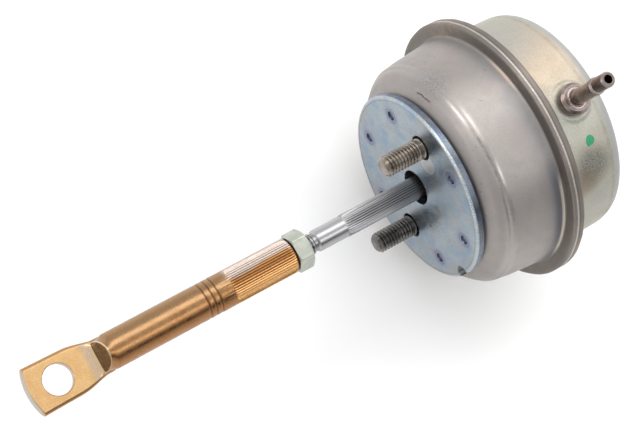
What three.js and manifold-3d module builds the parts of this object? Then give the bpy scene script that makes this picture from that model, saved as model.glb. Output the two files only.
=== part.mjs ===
// Wastegate actuator of a turbocharger: a pressed-steel diaphragm can with two mounting studs and a hose nipple,
// whose sprung rod ends in a screw-on rod end with a flat eye. Millimetres.
// +X runs along the rod towards the eye. +Z runs along the hose nipple, and the eye's flat faces it.
// The origin is the centre of the mounting plate's front face, on the rod's axis.
import * as THREE from "three";
import { mergeVertices } from "three/addons/utils/BufferGeometryUtils.js";
import Module from "manifold-3d";

// ---- Driving dimensions ----
const GAP = 0.3; // clearance between touching pieces

const PLATE_R = 27.7; // mounting plate
const PLATE_T = 2.3;
const PLATE_ROD_HOLE_R = 5.2;
const PLATE_STUD_HOLE_R = 3.6;
const NOTCH_W = 5;
const NOTCH_DEPTH = 3;
const WELD_R = 21.8; // radius of the ring of welds
const WELD_RECESS_R = 1.25;
const WELD_RECESS_DEPTH = 0.9;
const WELD_ANGLES = [38, 90, 142, 218, 270, 322]; // degrees from the first stud

const STUD_R = 3; // M6 studs
const STUD_CIRCLE_R = 16.8;
const STUD_ANGLE = 120; // degrees from +Y towards +Z; the second stud is opposite
const STUD_LENGTH = 12.5; // beyond the plate
const STUD_HEAD_R = 5;
const STUD_HEAD_T = 2;

const CAN_WALL = 1.2;
const CAN_SEGMENTS = 44;
const CAN_ROD_HOLE_R = 6.2;
const CAN_STUD_HOLE_R = 3.5;
const FLANGE_R = 38.95; // crimped flange
const FLANGE_FRONT_X = -24.1;
const FLANGE_REAR_X = -27.7;
const FLANGE_WALL = 0.8;
const LIP_INNER_R = 34.4; // inner edge of the lip rolled over behind the rear cap's flange

const CAP_R = 32.8; // rear cap
const CAP_END_X = -47.7;
const CAP_CORNER_R = 5;
const CAP_SPREAD_X = -32; // where its wall starts to spread towards the flange
const CAP_FLANGE_R = 37.6;

const NIPPLE_X = -36.9;
const NIPPLE_TIP_Z = 54.5;
const NIPPLE_COLLAR_R = 4.5;
const NIPPLE_TUBE_R = 2.2;
const NIPPLE_BORE_R = 1.1;
const BOSS_R = 6.2;
const BOSS_H = 0.6;

const ROD_R = 3.25; // over the splines
const SPLINE_ROOT_R = 2.95;
const SPLINE_COUNT = 30;
const SPLINE_START_X = -16;
const SPLINE_END_X = 24.8;
const ROD_PLAIN_R = 3.1;
const ROD_NECK_X = 34;
const ROD_NECK_R = 2.55;
const ROD_THREAD_R = 2.95; // M6 x 1
const ROD_FRONT_X = 78;
const ROD_REAR_X = -46;
const SPIGOT_R = 2.5; // the rod's rear end, which carries the piston

const NUT_X = 37.3; // jam nut
const NUT_T = 4.6;
const NUT_FLATS = 10;

const END_R = 5; // rod end
const END_X = NUT_X + NUT_T + GAP;
const END_BORE_R = ROD_THREAD_R + GAP;
const END_BORE_DEPTH = 39.8;
const KNURL_END_X = 61.8;
const KNURL_TEETH = 44;
const KNURL_DEPTH = 0.25;
const GROOVE_XS = [66.3, 68.1, 69.9];
const GROOVE_DEPTH = 0.25;
const STEP_X = 100.3; // where the tube is cut down to the flat
const FLAT_TOP_Z = -2.9;
const FLAT_T = 3;
const EYE_X = 112.4;
const EYE_HOLE_R = 4.15;
const EYE_HALF_WIDTH = 5.6; // of its faces, where they stop widening
const EYE_TIP_HALF_WIDTH = 5.9;
const EYE_SWELL = 1; // how far its pressed edges bulge past its faces
const EYE_TIP_X = 121;

const PISTON_R = 27;
const PISTON_WALL = 1;
const PISTON_BASE_X = -37.4; // rear face of the piston cup
const PISTON_BASE_T = 1.2;
const PISTON_CORNER_R = 2;
const PISTON_LIP_X = -22;
const DIAPHRAGM_T = 1;

const SPRING_COIL_R = 17;
const SPRING_WIRE_R = 1.2;
const SPRING_TURNS = 5;
const SPRING_SEAT_X = -9; // front face of the spring seat
const SPRING_SEAT_T = 1.2;
const SPRING_SEAT_R = 24.3;

const BUSH_R = 7;
const BUSH_BORE_R = 3.6;
const BUSH_LENGTH = 8;
const STUD_PLATE_R = 22.8;
const RETAINER_BRIM_R = 11;

const NIPPLE_WASHER_R = 4.6;
const PISTON_WASHER_R = 6;
const PISTON_NUT_FLATS = 8;
const PISTON_NUT_T = 3.2;
const DIAPHRAGM_RETAINER_R = 24;

// ---- Making solids ----
const wasm = await Module();
wasm.setup();

function volumeOf(positions, triangles) {
  const a = new THREE.Vector3();
  const b = new THREE.Vector3();
  const c = new THREE.Vector3();
  let volume = 0;
  for (let i = 0; i < triangles.length; i += 3) {
    a.fromArray(positions, 3 * triangles[i]);
    b.fromArray(positions, 3 * triangles[i + 1]);
    c.fromArray(positions, 3 * triangles[i + 2]);
    volume += a.dot(b.cross(c)) / 6;
  }
  return volume;
}

// A closed three.js geometry as a manifold solid with its faces pointing out.
function solid(geometry) {
  const bare = geometry.clone();
  bare.deleteAttribute("normal");
  bare.deleteAttribute("uv");
  const merged = mergeVertices(bare, 1e-4);
  const positions = merged.attributes.position.array;
  let triangles = [];
  for (let i = 0; i < merged.index.count; i += 3) {
    const [a, b, c] = [0, 1, 2].map((k) => merged.index.getX(i + k));
    if (a !== b && b !== c && c !== a) triangles.push(a, b, c);
  }
  if (volumeOf(positions, triangles) < 0) triangles = triangles.reverse();
  return new wasm.Manifold(new wasm.Mesh({
    numProp: 3,
    vertProperties: new Float32Array(positions),
    triVerts: new Uint32Array(triangles),
  }));
}

const ALONG_X = new THREE.Matrix4().makeBasis(
  new THREE.Vector3(0, 1, 0), new THREE.Vector3(0, 0, 1), new THREE.Vector3(1, 0, 0),
);

// A solid of revolution about an axis along X through (y, z), from [x, radius] points. The profile starts and ends
// on the axis, or closes onto itself.
function turned(profile, segments = 64, [y, z] = [0, 0]) {
  const points = profile.map(([x, r]) => new THREE.Vector2(r, x));
  if (profile[0][1] > 0) points.push(points[0].clone());
  const geometry = new THREE.LatheGeometry(points, segments);
  geometry.rotateZ(-Math.PI / 2);
  geometry.translate(0, y, z);
  return solid(geometry);
}

// The same about the Z axis through (x, 0), from [z, radius] points.
function turnedAboutZ(x, profile, segments = 24) {
  const points = profile.map(([z, r]) => new THREE.Vector2(r, z));
  if (profile[0][1] > 0) points.push(points[0].clone());
  const geometry = new THREE.LatheGeometry(points, segments);
  geometry.rotateX(Math.PI / 2);
  geometry.translate(x, 0, 0);
  return solid(geometry);
}

function cylinder(x0, x1, radius, segments = 32, place = [0, 0]) {
  return turned([[x0, 0], [x0, radius], [x1, radius], [x1, 0]], segments, place);
}

function tubeRing(x0, x1, inner, outer, segments = 48) {
  return turned([[x0, inner], [x0, outer], [x1, outer], [x1, inner]], segments);
}

// An outline of [y, z] points pushed from x0 to x1.
function prism(outline, x0, x1) {
  const shape = new THREE.Shape(outline.map(([y, z]) => new THREE.Vector2(y, z)));
  const geometry = new THREE.ExtrudeGeometry(shape, { depth: x1 - x0, bevelEnabled: false });
  geometry.applyMatrix4(ALONG_X);
  geometry.translate(x0, 0, 0);
  return solid(geometry);
}

function polar(radius, degrees) {
  const angle = THREE.MathUtils.degToRad(degrees);
  return [radius * Math.cos(angle), radius * Math.sin(angle)];
}

// A toothed outline: pointed teeth between the root radius and the outer radius.
function toothedOutline(teeth, root, outer) {
  const step = 360 / teeth;
  const outline = [];
  for (let i = 0; i < teeth; i += 1) {
    outline.push(polar(root, i * step));
    outline.push(polar(outer, (i + 0.5) * step));
  }
  return outline;
}

// Points of an arc in a profile, from one angle to another in degrees, 0 along +X and 90 outwards.
function profileArc(x, r, radius, from, to, steps = 5) {
  const points = [];
  for (let i = 0; i <= steps; i += 1) {
    const angle = THREE.MathUtils.degToRad(from + ((to - from) * i) / steps);
    points.push([x + radius * Math.cos(angle), r + radius * Math.sin(angle)]);
  }
  return points;
}

const group = new THREE.Group();

function add(name, body, color, roughness, metalness) {
  const mesh = body.getMesh();
  const geometry = new THREE.BufferGeometry();
  const positions = new Float32Array(mesh.numVert * 3);
  for (let i = 0; i < mesh.numVert; i += 1) {
    for (let k = 0; k < 3; k += 1) positions[3 * i + k] = mesh.vertProperties[mesh.numProp * i + k];
  }
  geometry.setAttribute("position", new THREE.BufferAttribute(positions, 3));
  geometry.setIndex(new THREE.BufferAttribute(new Uint32Array(mesh.triVerts), 1));
  geometry.computeVertexNormals();
  const node = new THREE.Mesh(geometry, new THREE.MeshStandardMaterial({ color, roughness, metalness }));
  node.name = name;
  group.add(node);
  return node;
}

const studPlaces = [0, 180].map((turn) => polar(STUD_CIRCLE_R, STUD_ANGLE + turn));

function withStudHoles(body, radius, x0, x1) {
  return studPlaces.reduce((cut, place) => cut.subtract(cylinder(x0, x1, radius, 24, place)), body);
}

// ---- The can ----
// The front housing's outer profile, from the rod hole out to the flange.
const HOUSING_FACE_X = -PLATE_T - GAP;
const outerProfile = [
  [HOUSING_FACE_X, CAN_ROD_HOLE_R],
  [HOUSING_FACE_X, 24.6],
  [-3.3, 27],
  [-4.6, 29.6],
  [-6.1, 31.4],
  [-7.6, 32.5],
  [-9.6, 33.2],
  [-13, 33.7],
  [-18, 34.2],
  [-22.4, 34.6],
  [-23.5, 35],
  [FLANGE_FRONT_X, 35.9],
];

function frontHousing() {
  const inward = -CAN_WALL;
  const innerProfile = [
    [HOUSING_FACE_X + inward, CAN_ROD_HOLE_R],
    [HOUSING_FACE_X + inward, 24.2],
    [-5.2, 27.6],
    [-6.9, 30.3],
    [-9.6, 31.9],
    [-13, 32.5],
    [-18, 33],
    [-23, 33.4],
    [-24.2, 33.8],
    [FLANGE_FRONT_X - FLANGE_WALL, 34.8],
  ];
  const inRim = FLANGE_R - 0.9;
  const profile = [
    ...outerProfile,
    ...profileArc(FLANGE_FRONT_X - 1.1, FLANGE_R - 1.1, 1.1, 20, 90, 3),
    ...profileArc(FLANGE_REAR_X + 1.1, FLANGE_R - 1.1, 1.1, 90, 180, 3),
    [FLANGE_REAR_X, LIP_INNER_R],
    [FLANGE_REAR_X + 0.7, LIP_INNER_R],
    [FLANGE_REAR_X + 0.7, inRim],
    [FLANGE_FRONT_X - FLANGE_WALL, inRim],
    ...innerProfile.reverse(),
  ];
  return withStudHoles(turned(profile, CAN_SEGMENTS), CAN_STUD_HOLE_R, -6, 1);
}

function rearCap() {
  const corner = CAP_CORNER_R;
  const wall = CAN_WALL;
  const flangeFront = FLANGE_REAR_X + 1.6;
  const flangeRear = FLANGE_REAR_X + 1;
  const profile = [
    [CAP_END_X, 0],
    ...profileArc(CAP_END_X + corner, CAP_R - corner, corner, 180, 90, 5),
    [CAP_SPREAD_X, CAP_R + 0.3],
    [flangeRear - 0.6, CAP_R + 0.7],
    [flangeRear, CAP_R + 1.1],
    [flangeRear, CAP_FLANGE_R],
    [flangeFront, CAP_FLANGE_R],
    [flangeFront, CAP_R + 0.6],
    [FLANGE_REAR_X - 0.9, CAP_R - 0.5],
    [CAP_SPREAD_X, CAP_R - wall + 0.3],
    ...profileArc(CAP_END_X + corner, CAP_R - corner, corner - wall, 90, 180, 4),
    [CAP_END_X + wall, 0],
  ];
  const boss = turnedAboutZ(NIPPLE_X, [
    [CAP_R - 1.1, 0],
    [CAP_R - 1.1, BOSS_R + 0.2],
    [CAP_R + BOSS_H - 0.3, BOSS_R],
    [CAP_R + BOSS_H, BOSS_R - 0.5],
    [CAP_R + BOSS_H, 0],
  ]);
  const hole = turnedAboutZ(NIPPLE_X, [
    [20, 0],
    [20, NIPPLE_TUBE_R + GAP],
    [50, NIPPLE_TUBE_R + GAP],
    [50, 0],
  ]);
  return turned(profile, CAN_SEGMENTS).add(boss).subtract(hole);
}

// ---- Fixed hardware ----
function mountingPlate() {
  const bevel = 0.5;
  let plate = turned([
    [-PLATE_T, PLATE_ROD_HOLE_R],
    [-PLATE_T, PLATE_R],
    [-bevel, PLATE_R],
    [0, PLATE_R - bevel],
    [0, PLATE_ROD_HOLE_R],
  ], CAN_SEGMENTS);
  plate = withStudHoles(plate, PLATE_STUD_HOLE_R, -PLATE_T - 1, 1);
  for (const turn of WELD_ANGLES) {
    const place = polar(WELD_R, STUD_ANGLE + turn);
    plate = plate.subtract(cylinder(-WELD_RECESS_DEPTH, 1, WELD_RECESS_R, 12, place));
  }
  // A round-bottomed notch in the edge at +Y, for clocking the can on its bracket.
  const halfWidth = NOTCH_W / 2;
  const notchBottom = PLATE_R - NOTCH_DEPTH;
  const notch = [[PLATE_R + 1, -halfWidth], [PLATE_R + 1, halfWidth]];
  for (let i = 0; i <= 6; i += 1) {
    const [y, z] = polar(halfWidth, 90 + i * 30);
    notch.push([notchBottom + halfWidth + y, z]);
  }
  return plate.subtract(prism(notch, -PLATE_T - 1, 1));
}

function stud() {
  const headFront = SPRING_SEAT_X + GAP + STUD_HEAD_T;
  const tipChamfer = 0.7;
  return turned([
    [headFront - STUD_HEAD_T, 0],
    [headFront - STUD_HEAD_T, STUD_HEAD_R],
    [headFront, STUD_HEAD_R],
    [headFront, STUD_R],
    [0.4, STUD_R],
    [0.4, STUD_R - 0.4],
    [1.6, STUD_R - 0.4],
    [2, STUD_R],
    [STUD_LENGTH - tipChamfer, STUD_R],
    [STUD_LENGTH, STUD_R - tipChamfer],
    [STUD_LENGTH, 0],
  ], 24);
}

function hoseNipple() {
  const seat = CAP_R + BOSS_H + GAP;
  const shankEnd = CAP_R - CAN_WALL - 3;
  return turnedAboutZ(NIPPLE_X, [
    [shankEnd, NIPPLE_BORE_R],
    [shankEnd, NIPPLE_TUBE_R],
    [seat, NIPPLE_TUBE_R],
    [seat, NIPPLE_COLLAR_R],
    [seat + 2, NIPPLE_COLLAR_R],
    [seat + 2.7, NIPPLE_COLLAR_R - 0.8],
    [seat + 2.9, NIPPLE_TUBE_R],
    [NIPPLE_TIP_Z - 7.6, NIPPLE_TUBE_R],
    [NIPPLE_TIP_Z - 7.1, NIPPLE_TUBE_R + 0.25],
    [NIPPLE_TIP_Z - 6.2, NIPPLE_TUBE_R + 0.25],
    [NIPPLE_TIP_Z - 5.6, NIPPLE_TUBE_R - 0.2],
    [NIPPLE_TIP_Z - 0.5, NIPPLE_TUBE_R - 0.2],
    [NIPPLE_TIP_Z, NIPPLE_TUBE_R - 0.45],
    [NIPPLE_TIP_Z, NIPPLE_BORE_R],
  ]);
}

// The clinch washer inside the rear cap, behind which the nipple's shank is swaged.
function nippleWasher() {
  const top = CAP_R - CAN_WALL - 1.1;
  return turnedAboutZ(NIPPLE_X, [
    [top - 1, NIPPLE_TUBE_R + GAP],
    [top - 1, NIPPLE_WASHER_R],
    [top, NIPPLE_WASHER_R],
    [top, NIPPLE_TUBE_R + GAP],
  ]);
}

// ---- Inside the front housing ----
const WALL_INSIDE_X = HOUSING_FACE_X - CAN_WALL - GAP;

function studPlate() {
  const rear = SPRING_SEAT_X + STUD_HEAD_T + 2 * GAP;
  const ring = tubeRing(rear, WALL_INSIDE_X, BUSH_R + GAP, STUD_PLATE_R);
  return withStudHoles(ring, STUD_R + GAP, -12, 1);
}

function guideBush() {
  return tubeRing(WALL_INSIDE_X - BUSH_LENGTH, WALL_INSIDE_X, BUSH_BORE_R, BUSH_R, 32);
}

// A pressed hat that closes over the bush, with its brim under the spring seat.
function bushRetainer() {
  const brimFront = SPRING_SEAT_X + STUD_HEAD_T + GAP;
  const top = WALL_INSIDE_X - BUSH_LENGTH - GAP;
  return turned([
    [top - 1, BUSH_BORE_R + 0.6],
    [top - 1, BUSH_R + GAP + 1],
    [brimFront - 1, BUSH_R + GAP + 1],
    [brimFront - 1, RETAINER_BRIM_R],
    [brimFront, RETAINER_BRIM_R],
    [brimFront, BUSH_R + GAP],
    [top, BUSH_R + GAP],
    [top, BUSH_BORE_R + 0.6],
  ], 32);
}

// A shallow cup over the stud heads; its rim stands on the housing's front wall.
function springSeat() {
  const rear = SPRING_SEAT_X - SPRING_SEAT_T;
  return turned([
    [rear, BUSH_R + GAP + 1.4],
    [rear, SPRING_SEAT_R],
    [WALL_INSIDE_X - 0.2, SPRING_SEAT_R],
    [WALL_INSIDE_X - 0.2, SPRING_SEAT_R - SPRING_SEAT_T],
    [SPRING_SEAT_X, SPRING_SEAT_R - SPRING_SEAT_T],
    [SPRING_SEAT_X, BUSH_R + GAP + 1.4],
  ], 40);
}

class CoilCurve extends THREE.Curve {
  constructor(x0, x1, radius, turns, wire) {
    super();
    Object.assign(this, { x0, x1, radius, turns, wire });
  }

  // Nearly closed coils for the first and last turn, and an even pitch between them.
  getPoint(t, target = new THREE.Vector3()) {
    const turn = t * this.turns;
    const closedPitch = 2 * this.wire + 0.2;
    const openPitch = (this.x1 - this.x0 - 2 * closedPitch) / (this.turns - 2);
    let x = this.x0 + Math.min(turn, 1) * closedPitch;
    x += Math.max(0, Math.min(turn, this.turns - 1) - 1) * openPitch;
    x += Math.max(0, turn - this.turns + 1) * closedPitch;
    const angle = turn * 2 * Math.PI;
    return target.set(x, this.radius * Math.cos(angle), this.radius * Math.sin(angle));
  }
}

function returnSpring() {
  const rear = PISTON_BASE_X + PISTON_BASE_T + GAP + SPRING_WIRE_R;
  const front = SPRING_SEAT_X - SPRING_SEAT_T - GAP - SPRING_WIRE_R;
  const section = new THREE.Shape();
  for (let i = 0; i <= 6; i += 1) {
    const [x, y] = polar(SPRING_WIRE_R, i * 60);
    if (i === 0) section.moveTo(x, y);
    else section.lineTo(x, y);
  }
  return solid(new THREE.ExtrudeGeometry(section, {
    steps: 18 * SPRING_TURNS,
    bevelEnabled: false,
    extrudePath: new CoilCurve(rear, front, SPRING_COIL_R, SPRING_TURNS, SPRING_WIRE_R),
  }));
}

// ---- Diaphragm and piston ----
function pistonCorner(radius, from, to) {
  return profileArc(PISTON_BASE_X + PISTON_CORNER_R, PISTON_R - PISTON_CORNER_R, radius, from, to, 3);
}

function pistonCup() {
  const rear = PISTON_BASE_X;
  const front = PISTON_BASE_X + PISTON_BASE_T;
  return turned([
    [rear, SPIGOT_R + GAP],
    ...pistonCorner(PISTON_CORNER_R, 180, 90),
    [PISTON_LIP_X, PISTON_R],
    [PISTON_LIP_X, PISTON_R - PISTON_WALL],
    [front + 0.9, PISTON_R - PISTON_WALL],
    [front, PISTON_R - PISTON_CORNER_R],
    [front, SPIGOT_R + GAP],
  ], 40);
}

// The rolling diaphragm: flat over the piston's rear, along its skirt, over one loop and out to the clamped bead.
function diaphragm() {
  const t = DIAPHRAGM_T;
  const front = PISTON_BASE_X - GAP;
  const inner = PISTON_R + GAP;
  const loopR = 2.5;
  const loopX = -24.2;
  const loopMid = inner + loopR;
  const beadFront = FLANGE_FRONT_X - FLANGE_WALL - GAP;
  const beadRear = beadFront - 0.6;
  const beadInner = loopMid + loopR - 0.2;
  return turned([
    [front, SPIGOT_R + GAP],
    ...pistonCorner(PISTON_CORNER_R + GAP, 180, 90),
    ...profileArc(loopX, loopMid, loopR, 270, 450, 4),
    [beadFront, beadInner + 0.4],
    [beadFront, CAP_FLANGE_R - 0.2],
    [beadRear, CAP_FLANGE_R - 0.2],
    [beadRear, beadInner - 0.5],
    ...profileArc(loopX, loopMid, loopR - t, 80, -90, 3),
    ...pistonCorner(PISTON_CORNER_R + GAP + t, 90, 180),
    [front - t, SPIGOT_R + GAP],
  ], 40);
}

function diaphragmRetainer() {
  const front = PISTON_BASE_X - 2 * GAP - DIAPHRAGM_T;
  return turned([
    [front - 1.2, SPIGOT_R + GAP],
    [front - 1.2, DIAPHRAGM_RETAINER_R - 2],
    [front - 1.8, DIAPHRAGM_RETAINER_R - 0.6],
    [front - 0.9, DIAPHRAGM_RETAINER_R],
    [front, DIAPHRAGM_RETAINER_R - 1.4],
    [front, SPIGOT_R + GAP],
  ], 36);
}

const WASHER_FRONT_X = PISTON_BASE_X - 3 * GAP - DIAPHRAGM_T - 1.2;

function pistonWasher() {
  return tubeRing(WASHER_FRONT_X - 1, WASHER_FRONT_X, SPIGOT_R + GAP, PISTON_WASHER_R, 32);
}

// A chamfered hexagonal nut, with two of its faces square to Z.
function hexNut(x0, x1, flats, boreR) {
  const corner = flats / 2 / Math.cos(Math.PI / 6);
  const outline = [0, 1, 2, 3, 4, 5].map((i) => polar(corner, 60 * i));
  const chamferR = flats / 2 + 0.1;
  const chamfered = turned([
    [x0, 0],
    [x0, chamferR],
    [x0 + 0.5, corner + 0.02],
    [x1 - 0.5, corner + 0.02],
    [x1, chamferR],
    [x1, 0],
  ], 48);
  return prism(outline, x0, x1).intersect(chamfered).subtract(cylinder(x0 - 1, x1 + 1, boreR, 24));
}

function pistonNut() {
  const front = WASHER_FRONT_X - 1 - GAP;
  return hexNut(front - PISTON_NUT_T, front, PISTON_NUT_FLATS, SPIGOT_R + GAP);
}

// ---- Rod, jam nut and rod end ----
function actuatorRod() {
  const shoulderX = PISTON_BASE_X + PISTON_BASE_T + GAP;
  const core = turned([
    [ROD_REAR_X, 0],
    [ROD_REAR_X, SPIGOT_R - 0.5],
    [ROD_REAR_X + 0.5, SPIGOT_R],
    [shoulderX, SPIGOT_R],
    [shoulderX, ROD_PLAIN_R],
    [ROD_NECK_X, ROD_PLAIN_R],
    [ROD_NECK_X + 0.3, ROD_NECK_R],
    [ROD_NECK_X + 1.1, ROD_NECK_R],
    [ROD_NECK_X + 1.5, ROD_THREAD_R],
    [ROD_FRONT_X - 0.8, ROD_THREAD_R],
    [ROD_FRONT_X, ROD_THREAD_R - 0.8],
    [ROD_FRONT_X, 0],
  ], 32);
  const splined = prism(toothedOutline(SPLINE_COUNT, SPLINE_ROOT_R, ROD_R), SPLINE_START_X, SPLINE_END_X);
  const relief = tubeRing(SPLINE_START_X, SPLINE_END_X, SPLINE_ROOT_R, ROD_R + 1, 60);
  return core.subtract(relief).add(splined);
}

function jamNut() {
  return hexNut(NUT_X, NUT_X + NUT_T, NUT_FLATS, ROD_THREAD_R + GAP);
}

// The outline of the eye's faces: it widens from the tube to nearly parallel sides and ends in a shallow bow.
function eyeOutline() {
  const bow = 0.9;
  const neck = 4;
  const widestX = STEP_X + 9;
  const tip = EYE_TIP_X - EYE_SWELL;
  const shape = new THREE.Shape();
  shape.moveTo(STEP_X - 2, -neck);
  shape.lineTo(STEP_X, -neck);
  shape.bezierCurveTo(STEP_X + 3.5, -neck - 0.6, STEP_X + 4.5, -EYE_HALF_WIDTH, widestX, -EYE_HALF_WIDTH);
  shape.lineTo(tip - bow, -EYE_TIP_HALF_WIDTH);
  shape.quadraticCurveTo(tip + bow, 0, tip - bow, EYE_TIP_HALF_WIDTH);
  shape.lineTo(widestX, EYE_HALF_WIDTH);
  shape.bezierCurveTo(STEP_X + 4.5, EYE_HALF_WIDTH, STEP_X + 3.5, neck + 0.6, STEP_X, neck);
  shape.lineTo(STEP_X - 2, neck);
  shape.closePath();
  return shape;
}

// The flat, before it is drilled. Its edges bulge outward, as pressing leaves them.
function eyeBlank() {
  const straight = 0.2;
  const geometry = new THREE.ExtrudeGeometry(eyeOutline(), {
    depth: straight,
    bevelThickness: (FLAT_T - straight) / 2,
    bevelSize: EYE_SWELL,
    bevelSegments: 2,
    curveSegments: 10,
  });
  geometry.translate(0, 0, FLAT_TOP_Z - (FLAT_T + straight) / 2);
  return solid(geometry);
}

function rodEnd() {
  const grooves = GROOVE_XS.flatMap((x) => [
    [x - 0.25, END_R],
    [x - 0.15, END_R - GROOVE_DEPTH],
    [x + 0.15, END_R - GROOVE_DEPTH],
    [x + 0.25, END_R],
  ]);
  const core = END_R - KNURL_DEPTH - 0.05;
  const knurl = prism(toothedOutline(KNURL_TEETH, END_R - KNURL_DEPTH, END_R), END_X + 0.4, KNURL_END_X + 0.3);
  const tube = turned([
    [END_X, 0],
    [END_X, END_R - 0.5],
    [END_X + 0.4, core],
    [KNURL_END_X, core],
    [KNURL_END_X, END_R],
    ...grooves,
    [STEP_X + 3, END_R],
    [STEP_X + 3, 0],
  ], 44).add(knurl);
  // The tube is cut away above the flat, with a fillet from the flat up to the step.
  const filletLength = 2;
  const filletHeight = 1.1;
  const away = new THREE.Shape();
  away.moveTo(STEP_X, END_R + 1);
  away.lineTo(STEP_X, FLAT_TOP_Z + filletHeight);
  away.quadraticCurveTo(STEP_X + 0.7, FLAT_TOP_Z, STEP_X + 0.7 + filletLength, FLAT_TOP_Z);
  away.lineTo(EYE_TIP_X, FLAT_TOP_Z);
  away.lineTo(EYE_TIP_X, END_R + 1);
  away.closePath();
  const cutter = new THREE.ExtrudeGeometry(away, { depth: 20, bevelEnabled: false, curveSegments: 6 });
  cutter.rotateX(Math.PI / 2);
  cutter.translate(0, 10, 0);
  const bore = turned([
    [END_X - 1, 0],
    [END_X - 1, END_BORE_R],
    [END_X + END_BORE_DEPTH, END_BORE_R],
    [END_X + END_BORE_DEPTH + 1.6, 0],
  ], 24);
  const hole = new THREE.CylinderGeometry(EYE_HOLE_R, EYE_HOLE_R, 20, 40);
  hole.rotateX(Math.PI / 2);
  hole.translate(EYE_X, 0, 0);
  return tube.subtract(solid(cutter)).add(eyeBlank()).subtract(solid(hole)).subtract(bore);
}

// ---- The assembly ----
add("front_housing", frontHousing(), 0xb4aca8, 0.42, 0.9);
add("rear_cap", rearCap(), 0xc8c3b4, 0.4, 0.85);
add("mounting_plate", mountingPlate(), 0xa0afbe, 0.35, 0.85);
add("stud_plate", studPlate(), 0x8f8b86, 0.5, 0.8);
add("stud_upper", stud(), 0x968c82, 0.4, 0.9).position.set(0, ...studPlaces[0]);
add("stud_lower", stud(), 0x5f5c5a, 0.4, 0.9).position.set(0, ...studPlaces[1]);
add("hose_nipple", hoseNipple(), 0x6f6660, 0.3, 0.95);
add("nipple_washer", nippleWasher(), 0x9a958c, 0.4, 0.9);
add("guide_bush", guideBush(), 0x2a2724, 0.6, 0.2);
add("bush_retainer", bushRetainer(), 0x8f8b86, 0.45, 0.85);
add("spring_seat", springSeat(), 0x8f8b86, 0.45, 0.85);
add("return_spring", returnSpring(), 0x55504b, 0.35, 0.9);
add("diaphragm", diaphragm(), 0x1e1e1f, 0.75, 0);
add("piston_cup", pistonCup(), 0xa5a196, 0.4, 0.85);
add("diaphragm_retainer", diaphragmRetainer(), 0xa5a196, 0.4, 0.85);
add("piston_washer", pistonWasher(), 0xaaa79e, 0.4, 0.85);
add("piston_nut", pistonNut(), 0xb4b2aa, 0.35, 0.9);
add("actuator_rod", actuatorRod(), 0xaaaaac, 0.25, 1);
add("jam_nut", jamNut(), 0xcdd2c8, 0.4, 0.8);
add("rod_end", rodEnd(), 0xb9875a, 0.35, 0.9);

export default group;
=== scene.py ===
"""The looks of a turbocharger's wastegate actuator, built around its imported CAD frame.

Shapes are worked out in millimetres and made in metres. +X runs along the rod and +Z along the hose nipple.
"""
import math

import bmesh
import bpy
import numpy as np
from mathutils import Matrix, Vector


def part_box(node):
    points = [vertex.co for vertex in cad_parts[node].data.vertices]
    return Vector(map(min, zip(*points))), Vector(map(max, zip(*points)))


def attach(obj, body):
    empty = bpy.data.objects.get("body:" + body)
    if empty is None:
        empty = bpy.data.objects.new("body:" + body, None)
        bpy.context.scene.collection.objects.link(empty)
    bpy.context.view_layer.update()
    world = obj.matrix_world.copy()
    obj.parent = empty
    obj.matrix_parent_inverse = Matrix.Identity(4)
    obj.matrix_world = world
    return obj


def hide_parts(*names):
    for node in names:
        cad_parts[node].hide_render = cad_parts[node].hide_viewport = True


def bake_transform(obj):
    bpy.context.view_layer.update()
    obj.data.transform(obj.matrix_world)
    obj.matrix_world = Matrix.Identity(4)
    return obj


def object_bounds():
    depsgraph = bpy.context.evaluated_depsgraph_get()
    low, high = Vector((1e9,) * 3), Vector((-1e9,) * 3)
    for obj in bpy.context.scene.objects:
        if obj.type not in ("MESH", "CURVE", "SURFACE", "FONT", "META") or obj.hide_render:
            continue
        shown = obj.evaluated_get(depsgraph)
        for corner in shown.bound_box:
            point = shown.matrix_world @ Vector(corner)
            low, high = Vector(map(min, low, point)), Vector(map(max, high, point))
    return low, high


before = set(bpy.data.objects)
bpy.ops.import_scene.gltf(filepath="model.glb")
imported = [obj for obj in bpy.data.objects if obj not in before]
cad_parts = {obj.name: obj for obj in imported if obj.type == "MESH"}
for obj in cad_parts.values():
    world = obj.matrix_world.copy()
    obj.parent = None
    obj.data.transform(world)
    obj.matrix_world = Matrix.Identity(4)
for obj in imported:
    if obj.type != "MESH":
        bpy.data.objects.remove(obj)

MM = 0.001
cad_low, cad_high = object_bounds()


def box_mm(node):
    """A CAD node's lowest and highest corners, in millimetres."""
    low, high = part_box(node)
    return np.array(low) / MM, np.array(high) / MM


def span(node):
    """A turned CAD node's lowest and highest x and its radius, in millimetres."""
    low, high = box_mm(node)
    return low[0], high[0], high[2]


# ---- Sizes ----
housing_low, housing_high = box_mm("front_housing")
cap_low = box_mm("rear_cap")[0]
plate_low, plate_high = box_mm("mounting_plate")
nipple_low, nipple_high = box_mm("hose_nipple")
rod_low, rod_high = box_mm("actuator_rod")
nut_low, nut_high = box_mm("jam_nut")
end_low, end_high = box_mm("rod_end")
PISTON_REAR_X, _, PISTON_R = span("piston_cup")
spring_low, spring_high = box_mm("return_spring")
diaphragm_low = box_mm("diaphragm")[0]

PLATE_R = plate_high[2]
PLATE_REAR_X = plate_low[0]
ROD_HOLE_R = 5.2
STUD_HOLE_R = 3.6
WELD_CIRCLE_R = 21.8
WELD_R = 1.4
WELD_ANGLES = [38, 90, 142, 218, 270, 322]  # degrees from the first stud
NOTCH_HALF_WIDTH = 2.5
NOTCH_DEPTH = 3.0

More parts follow.
